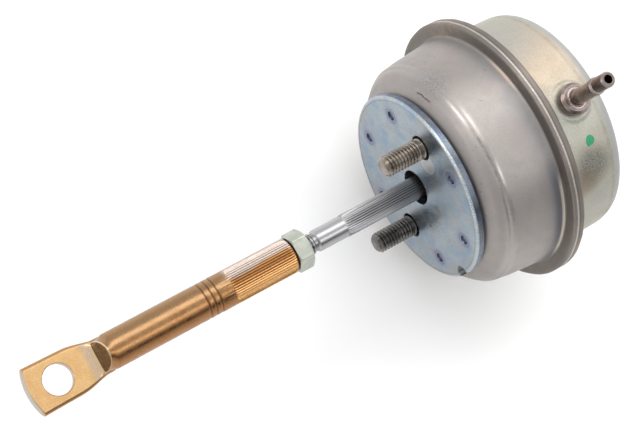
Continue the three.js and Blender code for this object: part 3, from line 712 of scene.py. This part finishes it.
FRONT_SHELL = front_shell_look()
REAR_SHELL = rear_shell_look()
PLATE = plate_look()
ROD = rod_look()
GOLD = gold_look()
RUBBER = rubber_look()
PAINT = paint_look()
PRESSING = steel_look("inner_pressing_steel", (160, 157, 152), (126, 122, 117))
STUD_BRIGHT = steel_look("stud_warm_steel", (158, 149, 139), (114, 106, 97), (0.25, 0.36))
STUD_DARK = steel_look("stud_dark_steel", (136, 133, 129), (90, 88, 86), (0.22, 0.32))
NIPPLE = steel_look("nipple_nickel", (164, 150, 146), (130, 117, 112), (0.16, 0.26), size=1.6)
WASHER = steel_look("washer_zinc", (186, 184, 176), (150, 147, 140))
BUSH = steel_look("bush_polymer", (48, 44, 40), (34, 31, 28), (0.5, 0.65), metallic=0.0)
SPRING = steel_look("spring_steel", (104, 98, 92), (70, 66, 62), (0.25, 0.4), streaks=False)
PISTON = steel_look("piston_zinc", (186, 182, 170), (150, 146, 136))
NUT = steel_look("nut_zinc", (186, 188, 178), (166, 170, 160), (0.3, 0.42), size=1.4, spots=0.4,
                 streaks=False)
NUT_INNER = steel_look("piston_nut_zinc", (196, 194, 186), (160, 158, 150))


# ---- The can ----
def stud_hole_cutters(radius, x0, x1, flare=0.0):
    """Cylinders through the stud holes. A flare opens the hole's edge at x = 0."""
    profile = [(x0, 0), (x0, radius), (x1, radius), (x1, 0)]
    if flare:
        profile[2:3] = [(-flare, radius), (0, radius + flare), (x1, radius + flare + 0.5)]
    return [turned("cutter", profile, 64, 50, place=shifted(y, z)) for y, z in (UPPER_STUD, LOWER_STUD)]


def make_front_housing():
    rim = 0.55  # the radius of the rolled rim's edge
    groove_x = FLANGE_REAR_X + 1.7
    rear_gap_x = FLANGE_REAR_X + 0.7
    lip_r = 34.4  # where the rolled rim ends behind the cap's flange
    sheet_rear_x = FLANGE_FRONT_X - 0.8
    profile = [
        (FACE_X, 6.2, 0.3), (FACE_X, 26.2, 1.5), (-4.9, 30.3, 4), (RIDGE_X, 32.1, 0.8), (CREASE_X, 32.3, 0.3),
        (-8.15, 32.95, 1.2), (-12.5, 33.6, 8), (FLANGE_FRONT_X + 1.2, BODY_END_R),
        (FLANGE_FRONT_X, BODY_END_R + 0.3, 0.7), (FLANGE_FRONT_X, FLANGE_R, rim),
        (groove_x + 0.3, FLANGE_R, 0.2), (groove_x, FLANGE_R - 0.06, 0.1), (groove_x - 0.3, FLANGE_R, 0.2),
        (FLANGE_REAR_X, FLANGE_R, rim + 0.4), (FLANGE_REAR_X, lip_r, 0.3), (rear_gap_x, lip_r, 0.3),
        (rear_gap_x, FLANGE_R - 0.9, 0.3), (sheet_rear_x, FLANGE_R - 0.9, 0.3),
        (sheet_rear_x, 34.6, 0.6), (-23, 33.4, 0.8), (-13, 32.5, 6), (-9.4, 31.7, 2), (-6.3, 29.6, 2),
        (FACE_X - WALL, 24.2, 3), (FACE_X - WALL, 6.2, 0.3),
    ]

    def crimped(x, r, angle):
        """The rolled rim is a little uneven."""
        uneven = 0.06 * np.sin(9 * angle + 1) + 0.04 * np.sin(23 * angle)
        return r - np.abs(uneven) * smoothstep(36.5, 38.5, r)

    piece = turned("front_housing_shell", profile, 288, 1.0, crimped)
    cut(piece, *stud_hole_cutters(3.5, -6, 1))
    fit(piece, "housing", FRONT_SHELL, "front_housing")


def cap_radius(x):
    """The rear cap's outer radius, which grows slightly from the rounded corner towards the flange."""
    corner_x = CAP_END_X + CAP_CORNER_R
    return CAP_R + 0.3 * (x - corner_x) / (CAP_SPREAD_X - corner_x)


def make_rear_cap():
    corner = CAP_CORNER_R
    joint_x = FLANGE_REAR_X + 1
    profile = [
        (CAP_END_X, 0), (CAP_END_X, CAP_R, corner), (CAP_SPREAD_X, CAP_R + 0.3, 8),
        (joint_x - 0.6, CAP_R + 0.7, 1), (joint_x, CAP_R + 1.1, 0.3),
        (joint_x, CAP_FLANGE_R, 0.25), (joint_x + 0.6, CAP_FLANGE_R, 0.25),
        (joint_x + 0.6, CAP_R + 0.5, 0.6), (FLANGE_REAR_X - 0.9, CAP_R - 0.5, 1),
        (CAP_SPREAD_X, CAP_R - WALL + 0.3, 6), (CAP_END_X + WALL, CAP_R - WALL, corner - WALL),
        (CAP_END_X + WALL, 0),
    ]

    def with_boss(x, r, angle):
        """The cap's wall is pressed out to a round flat under the nipple, with a soft shoulder round it."""
        around = np.angle(np.exp(1j * (angle - math.pi / 2)))
        away = np.hypot(x - NIPPLE_X, r * around)
        flat_r = (CAP_R + 0.6) / np.maximum(np.cos(around), 0.8)
        share = smoothstep(BOSS_R + 0.5, BOSS_R - 0.7, away) * (r > CAP_R - 0.5)
        return r + (flat_r - r) * share

    piece = turned("rear_cap_shell", profile, 480, 0.45, with_boss, steps=8)
    hole_r = TUBE_R + 0.3
    cut(piece, turned("cutter", [(20, 0), (20, hole_r), (50, hole_r), (50, 0)], 48, 50, place=UPRIGHT))
    fit(piece, "housing", REAR_SHELL, "rear_cap")


def make_paint_dot():
    """A drop of paint with a short tail, following the cap's curve."""
    rows, around = 14, 48
    angle = np.linspace(0, 2 * math.pi, around, endpoint=False)
    tail = 1 + 0.3 * np.exp(-((np.angle(np.exp(1j * (angle - 0.9))) / 0.28) ** 2)) + 0.04 * np.sin(3 * angle)
    rings = []
    for side in (1, -1):
        shares = np.linspace(0, 1, rows) if side > 0 else np.linspace(1, 0, rows)[1:]
        for share in shares:
            across = GREEN_DOT_R * share * tail
            x = GREEN_DOT_X + across * np.cos(angle)
            lift = 0.02 + 0.12 * math.sqrt(max(0, 1 - share ** 2)) if side > 0 else -0.04
            height = cap_radius(x) + lift
            turn = GREEN_DOT_ANGLE - across * np.sin(angle) / CAP_R
            rings.append(np.stack([x, height * np.cos(turn), height * np.sin(turn)], -1))
    piece = ring_solid("paint_dot", np.array(rings), False)
    fit(piece, "housing", PAINT)


# ---- Plate, studs and nipple ----
def make_plate():
    burr_r = PLATE_R - 1.1
    weld_depth = 0.5
    profile = [
        (PLATE_REAR_X, ROD_HOLE_R, 0.2), (PLATE_REAR_X, PLATE_R, 0.3), (-0.6, PLATE_R, 0.7),
        (0.0, PLATE_R - 0.55, 0.5), (0.0, burr_r + 0.25), (0.09, burr_r + 0.1, 0.05),
        (0.09, burr_r - 0.1, 0.05), (0.0, burr_r - 0.3), (0.0, ROD_HOLE_R, 0.25),
    ]
    piece = turned("mounting_plate_body", profile, 256, 1.5)
    bowl = [(-weld_depth, 0), (-weld_depth, WELD_R - 0.3, 0.2), (-0.05, WELD_R, 0.05),
            (1, WELD_R + 0.6), (1, 0)]
    welds = [turned("cutter", bowl, 48, 5, place=shifted(*polar(WELD_CIRCLE_R, STUD_TURN + turn)))
             for turn in WELD_ANGLES]
    cut(piece, *stud_hole_cutters(STUD_HOLE_R, -4, 1, 0.2), *welds, notch_cutter())
    fit(piece, "housing", PLATE, "mounting_plate", flats=True)


def notch_cutter():
    """The round-bottomed notch in the plate's edge at +Y."""
    outline = [(PLATE_R + 2, -NOTCH_HALF_WIDTH), (PLATE_R + 2, NOTCH_HALF_WIDTH)]
    bottom = PLATE_R - NOTCH_DEPTH + NOTCH_HALF_WIDTH
    for turn in range(90, 271, 10):
        y, z = polar(NOTCH_HALF_WIDTH, turn)
        outline.append((bottom + y, z))
    rings = []
    centre = np.mean(outline, axis=0)
    for x, share in ((-4, 0), (-4, 1), (1, 1), (1, 0)):
        rings.append([(x, *(centre + (np.array(p) - centre) * share)) for p in outline])
    return ring_solid("cutter", np.array(rings, float), False)


def make_stud(node, place, material):
    """A headed stud with a rounded M6 thread, a plain relief at the plate and a chamfered tip."""
    head_r, head_front = 5, STUD_HEAD_X + 2
    relief_r = STUD_R - 0.35
    profile = [
        (STUD_HEAD_X, 0), (STUD_HEAD_X, head_r, 0.4), (head_front, head_r, 0.4), (head_front, STUD_R, 0.2),
        (0.3, STUD_R, 0.1), (0.5, relief_r, 0.1), (1.3, relief_r, 0.1), (1.5, STUD_R, 0.1),
        (STUD_TIP_X - 0.9, STUD_R, 0.2), (STUD_TIP_X, STUD_R - 0.8, 0.25), (STUD_TIP_X, 0),
    ]

    def threaded(x, r, angle):
        thread = screw_thread(x, angle, STUD_R, 1.7, STUD_TIP_X)
        return np.where(x > 1.6, np.minimum(r, thread), r) * (r > 0)

    piece = turned(node + "_threaded", profile, 72, 0.08, threaded, place=shifted(*place))
    fit(piece, "housing", material, node, sharp=60)


def make_nipple():
    """A turned hose nipple: collar, tube, bead and a narrower tip."""
    inner_end, seat, tip = 28.6, NIPPLE_SEAT_Z, NIPPLE_TIP_Z
    profile = [
        (inner_end, BORE_R), (inner_end, TUBE_R, 0.2), (seat, TUBE_R),
        (seat, COLLAR_R - 0.2, 0.15), (seat + 0.9, COLLAR_R, 0.5), (seat + 2.0, COLLAR_R, 0.3),
        (seat + 2.7, COLLAR_R - 0.9, 0.25), (seat + 2.8, TUBE_R, 0.8),
        (tip - 7.9, TUBE_R, 0.2), (tip - 7.2, TUBE_R + 0.25, 0.3), (tip - 6.4, TUBE_R + 0.25, 0.2),
        (tip - 6.2, TUBE_R, 0.1), (tip - 5.9, TUBE_R + 0.2, 0.15), (tip - 5.5, TUBE_R - 0.05, 0.15),
        (tip - 0.45, TUBE_R - 0.05, 0.2), (tip, TUBE_R - 0.35, 0.12), (tip, BORE_R + 0.12, 0.1),
        (tip - 0.3, BORE_R, 0.1),
    ]
    piece = turned("hose_nipple_turned", profile, 96, 0.5, place=UPRIGHT)
    fit(piece, "housing", NIPPLE, "hose_nipple")


# ---- Rod, jam nut and rod end ----
def make_rod():
    spigot_x = PISTON_REAR_X + 1.5
    rear, front = rod_low[0], rod_high[0]
    neck, neck_r = ROD_NECK_X, 2.55
    thread_end, core_r = 52, 2.6
    profile = [
        (rear, 0), (rear, SPIGOT_R - 0.5, 0.1), (rear + 0.5, SPIGOT_R, 0.1), (spigot_x, SPIGOT_R, 0.1),
        (spigot_x, ROD_PLAIN_R, 0.2), (-16, ROD_PLAIN_R), (-15.6, ROD_R), (SPLINE_END_X - 0.5, ROD_R),
        (SPLINE_END_X, ROD_PLAIN_R, 0.2), (neck - 0.3, ROD_PLAIN_R, 0.25), (neck + 0.3, neck_r, 0.2),
        (neck + 1.0, neck_r, 0.15), (neck + 1.4, ROD_THREAD_R, 0.1), (thread_end, ROD_THREAD_R),
        (thread_end + 0.2, core_r), (front - 0.6, core_r, 0.2), (front, 2.2, 0.2), (front, 0),
    ]

    def detailed(x, r, angle):
        rib = (0.5 + 0.5 * np.cos(SPLINE_COUNT * angle)) ** 0.75
        splined = r - SPLINE_DEPTH * (1 - rib) * (r > ROD_PLAIN_R + 0.02)
        threaded = screw_thread(x, angle, ROD_THREAD_R, neck + 1.3, thread_end + 0.3, run_out=0.4)
        return np.where((x > neck + 1.3) & (x < thread_end + 0.1), np.minimum(r, threaded), splined)

    def rows():
        """Short steps only along the thread."""
        coarse = rounded(profile)
        fine = []
        for a, b in zip(coarse[:-1], coarse[1:]):
            step = 0.08 if a[0] > neck + 1 and b[0] < thread_end + 1 else 3
            fine += list(finely(np.array([a, b]), step, False)[:-1])
        return [tuple(p) for p in fine] + [(front, 0)]

    piece = turned("actuator_rod_splined", rows(), SPLINE_COUNT * 8, 60, detailed)
    fit(piece, "rod", ROD, "actuator_rod", sharp=70)


def hex_nut(name, x0, x1, flats, bore_r, pitch=1.0):
    """A hexagonal nut with turned chamfers, softened corners and a threaded bore."""
    corner = flats / 2 / math.cos(math.radians(30))
    face_r = flats / 2 - 0.05
    profile = [
        (x0, bore_r + 0.35), (x0, face_r, 0.08), (x0 + 0.42, corner + 0.02), (x1 - 0.42, corner + 0.02),
        (x1, face_r, 0.08), (x1, bore_r + 0.35), (x1 - 0.4, bore_r), (x0 + 0.4, bore_r),
    ]

    def hexagonal(x, r, angle):
        off = np.mod(angle, math.radians(60)) - math.radians(30)
        flat = flats / 2 / np.cos(off)
        soft = (flat ** -90.0 + (corner - 0.08) ** -90.0) ** (-1 / 90)
        hexed = np.minimum(r, soft)
        threaded = r - 0.22 * np.cos(2 * math.pi * x / pitch - angle) + 0.22
        return np.where(r > bore_r + 0.5, hexed, np.where(r < bore_r + 0.1, threaded, r))

    return turned(name, profile, 360, 0.12, hexagonal)


def make_jam_nut():
    piece = hex_nut("jam_nut_hex", NUT_REAR_X, NUT_FRONT_X, NUT_FLATS, ROD_THREAD_R + 0.07)
    fit(piece, "jam_nut", NUT, "jam_nut", sharp=24)


def make_rod_end():
    """A tube, knurled at the nut's end, whose far end is cut and pressed to a flat eye."""
    knurl_step = 8
    around = KNURL_TEETH * knurl_step
    split = math.asin(-FLAT_TOP_Z / END_R)  # how far below the axis the flat's edges start
    angle = np.linspace(0, 2 * math.pi, around, endpoint=False) + math.pi / KNURL_TEETH
    angle = np.where(angle > 1.5 * math.pi, angle - 2 * math.pi, angle)
    on_top = (angle > -split) & (angle < math.pi + split)
    top_share = (angle + split) / (math.pi + 2 * split)
    low_turn = np.where(angle < -split, -split - angle, 2 * math.pi - split - angle)
    low_share = low_turn / (math.pi - 2 * split)  # from the flat's +Y edge, under, to its -Y edge

    def round_ring(x, radius):
        return np.stack([np.full(around, x), radius * np.cos(angle), radius * np.sin(angle)], -1)

    def slab_outline(half_width, swell):
        """The pressed end's bulging side and underside, from its +Y top edge to its -Y top edge."""
        middle = (FLAT_TOP_Z + FLAT_BOTTOM_Z) / 2
        bulge = half_width + swell
        side = [(half_width, FLAT_TOP_Z), (bulge - 0.1, middle + 0.6, 0.6), (bulge, middle - 0.4, 0.8),
                (half_width - 0.2, FLAT_BOTTOM_Z, 0.9)]
        closing = (0, FLAT_TOP_Z + 50)  # far above the slab, and dropped again
        points = side + [(-p[0], *p[1:]) for p in reversed(side)] + [closing]
        shift = 100  # keeps the outline above 0, where rounded() takes it as closed
        smooth = rounded([(p[1] + shift, p[0] + shift, *p[2:]) for p in points])[:-1] - shift
        return smooth[:, ::-1]

    def along(outline, shares):
        """Points at these shares of an outline's length."""
        lengths = np.r_[0, np.cumsum(np.linalg.norm(np.diff(outline, axis=0), axis=1))]
        target = np.clip(shares, 0, 1) * lengths[-1]
        return np.stack([np.interp(target, lengths, outline[:, k]) for k in (0, 1)], -1)

    def pressed(x):
        """The tube's section, pressed into a slab whose sides bulge and, close to the step, a dome on it."""
        slab_share = float(smoothstep(-PRESS_LENGTH, -0.3 * PRESS_LENGTH, x))
        dome_share = float(smoothstep(-0.35 * PRESS_LENGTH, 0, x))
        half_width = face_half_width(x)
        swell = EYE_SWELL - 0.3 * float(smoothstep(6, -1, x))
        arc = np.stack([END_R * np.cos(angle), END_R * np.sin(angle)], -1)
        slab = along(slab_outline(half_width, swell), low_share)
        turn = math.pi * top_share
        dome = np.stack([half_width * np.cos(turn), FLAT_TOP_Z + (END_R - FLAT_TOP_Z) * np.sin(turn)], -1)
        return np.where(on_top[:, None], arc + (dome - arc) * dome_share, arc + (slab - arc) * slab_share)

    def leaning(x, section):
        """A ring x millimetres past the step, leaning back with the step's wall."""
        height = np.maximum(section[:, 1] - FLAT_TOP_Z, 0) / (END_R - FLAT_TOP_Z)
        lean = STEP_LEAN * float(smoothstep(-PRESS_LENGTH, 0, x))
        return np.column_stack([STEP_X + x + lean * (0.3 - height), section])

    def cut_ring(x, top_z):
        """A section with the tube cut away above top_z, x millimetres past the step."""
        flat_y = face_half_width(x) * (1 - 2 * top_share)
        rise = np.maximum(top_z - FLAT_TOP_Z, 0) * (1 - np.abs(2 * top_share - 1) ** 8)
        top = np.stack([flat_y, FLAT_TOP_Z + rise], -1)
        section = np.where(on_top[:, None], top, pressed(x))
        return np.column_stack([np.full(around, STEP_X + x), section])

    rings = [round_ring(END_X, 0.0), round_ring(END_X, END_R - 0.4), round_ring(END_X + 0.15, END_R - 0.28)]
    tooth = (0.5 + 0.5 * np.cos(KNURL_TEETH * angle)) ** 0.8
    wobble = 0.05 * np.sin(7 * angle + 2) * np.sin(3 * angle)
    for x in np.arange(END_X + 0.5, KNURL_END_X, 0.8):
        uneven = wobble * math.sin(0.3 * x)
        rings.append(round_ring(x, END_R - KNURL_DEPTH * (1 - tooth) - np.abs(uneven)))
    rings.append(round_ring(KNURL_END_X, END_R - KNURL_DEPTH * (1 - tooth)))
    plain = [(KNURL_END_X + 0.25, END_R)]
    for groove in GROOVE_XS:
        plain += [(groove - 0.42, END_R), (groove - 0.28, END_R - 0.05), (groove - 0.14, END_R - 0.22),
                  (groove, END_R - 0.26), (groove + 0.14, END_R - 0.22), (groove + 0.28, END_R - 0.05),
                  (groove + 0.42, END_R)]
    plain += [(x, END_R) for x in np.linspace(GROOVE_XS[-1] + 1.5, STEP_X - PRESS_LENGTH, 14)]
    rings += [round_ring(x, r) for x, r in plain]
    for x in np.linspace(0.4 - PRESS_LENGTH, -0.2, 22):
        rings.append(leaning(x, pressed(x)))
    for x, inset in ((-0.08, 0.03), (0.0, 0.12)):
        section = pressed(x)
        section[on_top] -= inset * (section[on_top] - (0, FLAT_TOP_Z)) / END_R
        rings.append(leaning(x, section))
    face = rings[-1]
    foot_x, foot_r = 0.7, 0.6
    foot = cut_ring(foot_x, FLAT_TOP_Z + foot_r)
    for share in (0.25, 0.5, 0.75):
        rings.append(face + (foot - face) * share)
    ramp_length = 2.6
    for x in np.linspace(foot_x, foot_x + ramp_length, 10):
        rings.append(cut_ring(x, FLAT_TOP_Z + foot_r * (1 - (x - foot_x) / ramp_length) ** 2.6))
    for x in np.linspace(foot_x + ramp_length + 0.4, END_TIP_X + 1 - STEP_X, 60):
        rings.append(cut_ring(x, FLAT_TOP_Z))
    last = rings[-1].copy()
    last[:, 1] = 0.0
    last[:, 2] = (FLAT_TOP_Z + FLAT_BOTTOM_Z) / 2
    rings.append(last)
    piece = ring_solid("rod_end_eye", np.array(rings), False)

    hole = turned("cutter", [
        (-9, 0), (-9, EYE_HOLE_R + 0.3), (FLAT_BOTTOM_Z - 0.01, EYE_HOLE_R + 0.2),
        (FLAT_BOTTOM_Z + 0.2, EYE_HOLE_R),
        (FLAT_TOP_Z - 0.2, EYE_HOLE_R), (FLAT_TOP_Z + 0.01, EYE_HOLE_R + 0.2), (0, EYE_HOLE_R + 0.3), (0, 0),
    ], 128, 50, place=Matrix.Translation((EYE_X * MM, 0, 0)) @ Matrix.Rotation(math.radians(-90), 4, "Y"))
    bore = turned("cutter", [
        (END_X - 1, 0), (END_X - 1, END_BORE_R + 1.3), (END_X + 0.3, END_BORE_R), (END_BORE_X, END_BORE_R),
        (END_BORE_X + 1.6, 0),
    ], 96, 50)
    cut(piece, tip_cutter(), hole, bore)
    fit(piece, "rod_end", GOLD, "rod_end", sharp=38)


def face_half_width(x):
    """Half the width of the pressed end's top face, x millimetres past the step."""
    at_step = 4.3
    wide_from = 8.5
    taper = 0.023  # how much wider each millimetre towards the tip is
    widening = (EYE_HALF_WIDTH - at_step) * float(smoothstep(-1.5, wide_from, x))
    return at_step + widening + taper * max(0, x - wide_from)


def tip_cutter():
    """Takes the pressed end off to a shallow bow, set back a little at the top face."""
    bow = 0.9
    reach = 9
    set_back = 0.7
    middle = (FLAT_TOP_Z + FLAT_BOTTOM_Z) / 2
    ys = np.linspace(reach, -reach, 41)
    rings = []
    levels = ((-9, 0, 0), (-9, 0, 1), (middle, 0, 1), (FLAT_TOP_Z, set_back, 1), (3, 4, 1), (3, 4, 0))
    for z, back, share in levels:
        curve = [(END_TIP_X - back - bow * (y / EYE_HALF_WIDTH) ** 2, y) for y in ys]
        outline = np.array(curve + [(END_TIP_X + 6, -reach), (END_TIP_X + 6, reach)])
        centre = outline.mean(axis=0)
        flat = centre + (outline - centre) * share
        rings.append(np.column_stack([flat, np.full(len(flat), z)]))
    return ring_solid("cutter", np.array(rings), False)


# ---- Inside the can ----
def make_inner_pieces():
    """The pieces inside the can, with the corners of pressed, turned and moulded parts."""
    for node, (body, slot, material, points) in inner_profiles().items():
        piece = turned(node + "_formed", points, 144, 2.0)
        if node == "stud_plate":
            cut(piece, *stud_hole_cutters(STUD_R + 0.3, -12, 1))
        fit(piece, body, material, node)
    nut_rear, nut_front, half_flats = span("piston_nut")
    piece = hex_nut("piston_nut_hex", nut_rear, nut_front, 2 * half_flats, 2.8, 0.8)
    fit(piece, "rod", NUT_INNER, "piston_nut", sharp=24)
    washer_low, washer_high = box_mm("nipple_washer")
    points = flat_ring(washer_low[2], washer_high[2], washer_high[1], TUBE_R + 0.3, 0.25, 0.15)
    piece = turned("nipple_washer_formed", points, 96, 1.0, place=UPRIGHT)
    fit(piece, "housing", WASHER, "nipple_washer")


def flat_ring(x0, x1, outer_r, inner_r, outer_edge, inner_edge):
    """The points of a flat ring whose edges are rounded to these radii."""
    outer = [(x0, outer_r, outer_edge), (x1, outer_r, outer_edge)]
    return [(x0, inner_r, inner_edge), *outer, (x1, inner_r, inner_edge)]


def inner_profiles():
    """Each turned piece inside the can: its body, its slot, its material and its (x, r) points."""
    hat_x0, hat_x1, crown_r, brim_r = *span("bush_retainer")[:2], 8.3, 11
    seat_x0, seat_x1, seat_r = span("spring_seat")
    cup_x0, cup_x1, cup_r = span("piston_cup")
    disc_x0, disc_x1, disc_r = span("diaphragm_retainer")
    spigot = SPIGOT_R + 0.3
    return {
        "stud_plate": ("housing", "inner_pressings", PRESSING, flat_ring(*span("stud_plate"), 7.3, 0.4, 0.3)),
        "guide_bush": ("housing", "bush", BUSH, flat_ring(*span("guide_bush")[:2], 7, 3.6, 0.5, 0.5)),
        "bush_retainer": ("housing", "inner_pressings", PRESSING, [
            (hat_x0, 4.2, 0.2), (hat_x0, crown_r, 1.0), (hat_x1 - 1, crown_r, 0.3), (hat_x1 - 1, brim_r, 0.3),
            (hat_x1, brim_r, 0.3), (hat_x1, crown_r - 1, 0.8), (hat_x0 + 1, crown_r - 1, 0.3),
            (hat_x0 + 1, 4.2, 0.2)]),
        "spring_seat": ("housing", "inner_pressings", PRESSING, [
            (seat_x0, 8.7, 0.3), (seat_x0, seat_r, 1.4), (seat_x1, seat_r, 0.4),
            (seat_x1, seat_r - WALL, 0.4), (seat_x0 + WALL, seat_r - WALL, 0.5), (seat_x0 + WALL, 8.7, 0.3)]),
        "piston_cup": ("rod", "piston", PISTON, [
            (cup_x0, spigot, 0.2), (cup_x0, cup_r, 2), (cup_x1, cup_r, 0.4), (cup_x1, cup_r - 1, 0.4),
            (cup_x0 + 1.2, cup_r - 1, 1), (cup_x0 + 1.2, spigot, 0.2)]),
        "diaphragm_retainer": ("rod", "piston", PISTON, [
            (disc_x0 + 0.6, spigot, 0.2), (disc_x0 + 0.6, disc_r - 2, 1), (disc_x0, disc_r - 0.6, 0.3),
            (disc_x0 + 0.9, disc_r, 0.3), (disc_x1, disc_r - 1.4, 0.8), (disc_x1, spigot, 0.2)]),
        "piston_washer": ("rod", "washers", WASHER, flat_ring(*span("piston_washer"), spigot, 0.3, 0.2)),
    }


def make_spring():
    """A round-wire compression spring with closed ends."""
    wire_r, turns, sides, per_turn = 1.2, 5, 16, 48
    coil_r = spring_high[1] - wire_r
    x0, x1 = spring_low[0] + wire_r, spring_high[0] - wire_r
    closed_pitch = 2 * wire_r + 0.2
    open_pitch = (x1 - x0 - 2 * closed_pitch) / (turns - 2)
    turn = np.linspace(0, turns, turns * per_turn + 1)
    x = (x0 + np.clip(turn, 0, 1) * closed_pitch + np.clip(turn - 1, 0, turns - 2) * open_pitch
         + np.clip(turn - turns + 1, 0, 1) * closed_pitch)
    angle = 2 * math.pi * turn
    section = np.linspace(0, 2 * math.pi, sides, endpoint=False)
    rings = []
    for i in (0, *range(len(turn)), len(turn) - 1):
        share = 0.0 if len(rings) in (0, len(turn) + 1) else 1.0
        out = coil_r + wire_r * share * np.cos(section)
        rings.append(np.stack([x[i] + wire_r * share * np.sin(section),
                               out * math.cos(angle[i]), out * math.sin(angle[i])], -1))
    piece = ring_solid("return_spring_coil", np.array(rings), False)
    fit(piece, None, SPRING, "return_spring", sharp=60)
    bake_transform(piece)


def make_diaphragm():
    """The rolling diaphragm: over the piston's back, along its skirt, round one loop and out to the bead."""
    rear_x = diaphragm_low[0]
    skirt_r = PISTON_R + 0.3
    loop_r = 2.5
    loop_x = -24.2
    bead_x, bead_r = FLANGE_FRONT_X - 1.1, CAP_FLANGE_R - 0.2
    mid_r = skirt_r + loop_r

    def arc(radius, start, end, count=14):
        turn = np.radians(np.linspace(start, end, count))
        return [(loop_x + radius * math.cos(t), mid_r + radius * math.sin(t)) for t in turn]

    points = [
        (rear_x + 1, SPIGOT_R + 0.3), (rear_x + 1, skirt_r, 2.3), *arc(loop_r, 270, 450),
        (bead_x, mid_r + loop_r + 0.2), (bead_x, bead_r, 0.2), (bead_x - 0.6, bead_r, 0.2),
        (bead_x - 0.6, mid_r + loop_r - 0.7), *arc(loop_r - 1, 80, -90), (rear_x, skirt_r + 1, 3.3),
        (rear_x, SPIGOT_R + 0.3),
    ]
    piece = turned("diaphragm_moulded", points, 144, 1.0)
    fit(piece, None, RUBBER, "diaphragm", sharp=60)
    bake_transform(piece)


make_front_housing()
make_rear_cap()
make_paint_dot()
make_plate()
make_stud("stud_upper", UPPER_STUD, STUD_BRIGHT)
make_stud("stud_lower", LOWER_STUD, STUD_DARK)
make_nipple()
make_rod()
make_jam_nut()
make_rod_end()
make_inner_pieces()
make_spring()
make_diaphragm()


# ---- Floor, light and camera ----
def make_floor():
    floor_look = Look("floor_white", 0.0)
    patches = floor_look.noise(60, 0.3, 0.7)
    floor_look.base = floor_look.mix(patches, (0.95, 0.95, 0.95, 1), (0.97, 0.97, 0.97, 1))
    bpy.ops.mesh.primitive_plane_add(size=6, location=(0, 0, cad_low[2]))
    floor = bpy.context.object
    floor.name = "floor"
    floor.data.materials.append(floor_look.done(0.7))


def area_light(name, place, length, width, radiance):
    """A soft box aimed at the part, its length running along the rod."""
    light = bpy.data.lights.new(name, "AREA")
    light.shape = "RECTANGLE"
    light.size, light.size_y = length, width
    light.energy = radiance * math.pi * length * width
    away = (Vector(place) - Vector((0.02, 0, 0))).normalized()
    along = (Vector((1, 0, 0)) - away * away.x).normalized()
    turn = Matrix((along, away.cross(along), away)).transposed()
    lamp = bpy.data.objects.new(name, light)
    lamp.matrix_world = Matrix.Translation(place) @ turn.to_4x4()
    bpy.context.scene.collection.objects.link(lamp)


def make_light():
    area_light("front_strip", (0.66, -0.44, 0.52), 1.1, 0.25, 2.8)
    area_light("left_box", (-0.4, -0.54, 0.87), 1.4, 0.55, 2.2)
    area_light("right_box", (-0.42, 0.42, 0.93), 1.4, 0.28, 1.9)
    world = bpy.data.worlds.new("studio")
    world.use_nodes = True
    sky = Graph(world.node_tree)
    background = sky.tree.nodes["Background"]
    background.inputs["Color"].default_value = (1, 1, 1, 1)
    place = sky.node("TexCoord").outputs["Generated"]
    across = sky.node("SeparateXYZ", place)
    # A pale room with a dark band low on the +Y side, above the horizon.
    up, side = across.outputs["Z"], across.outputs["Y"]
    height = sky.all_of(sky.ramp(up, 0.25, 0.42), sky.ramp(up, 0.55, 0.75, 1, 0))
    band = sky.all_of(height, sky.ramp(side, 0.35, 0.7, 0, 0.85))
    pale = sky.ramp(side, -1, 1, 1.0, 0.9)
    sky.feed(background.inputs["Strength"], sky.math("SUBTRACT", pale, band))
    bpy.context.scene.world = world


def make_camera():
    camera_data = bpy.data.cameras.new("camera")
    camera_data.sensor_width = 36
    camera_data.lens = 101.25
    camera_data.clip_start = 0.01
    camera = bpy.data.objects.new("camera", camera_data)
    ahead = Vector((-0.3769, -0.0338, -0.9256)).normalized()
    up = Vector((-0.4329, -0.8771, 0.2082))
    right = ahead.cross(up).normalized()
    up = right.cross(ahead)
    turn = Matrix((right, up, -ahead)).transposed()
    camera.matrix_world = Matrix.Translation((0.2122, 0.0104, 0.4506)) @ turn.to_4x4()
    bpy.context.scene.collection.objects.link(camera)
    bpy.context.scene.camera = camera


make_floor()
make_light()
make_camera()
bpy.context.scene.view_settings.view_transform = "Standard"
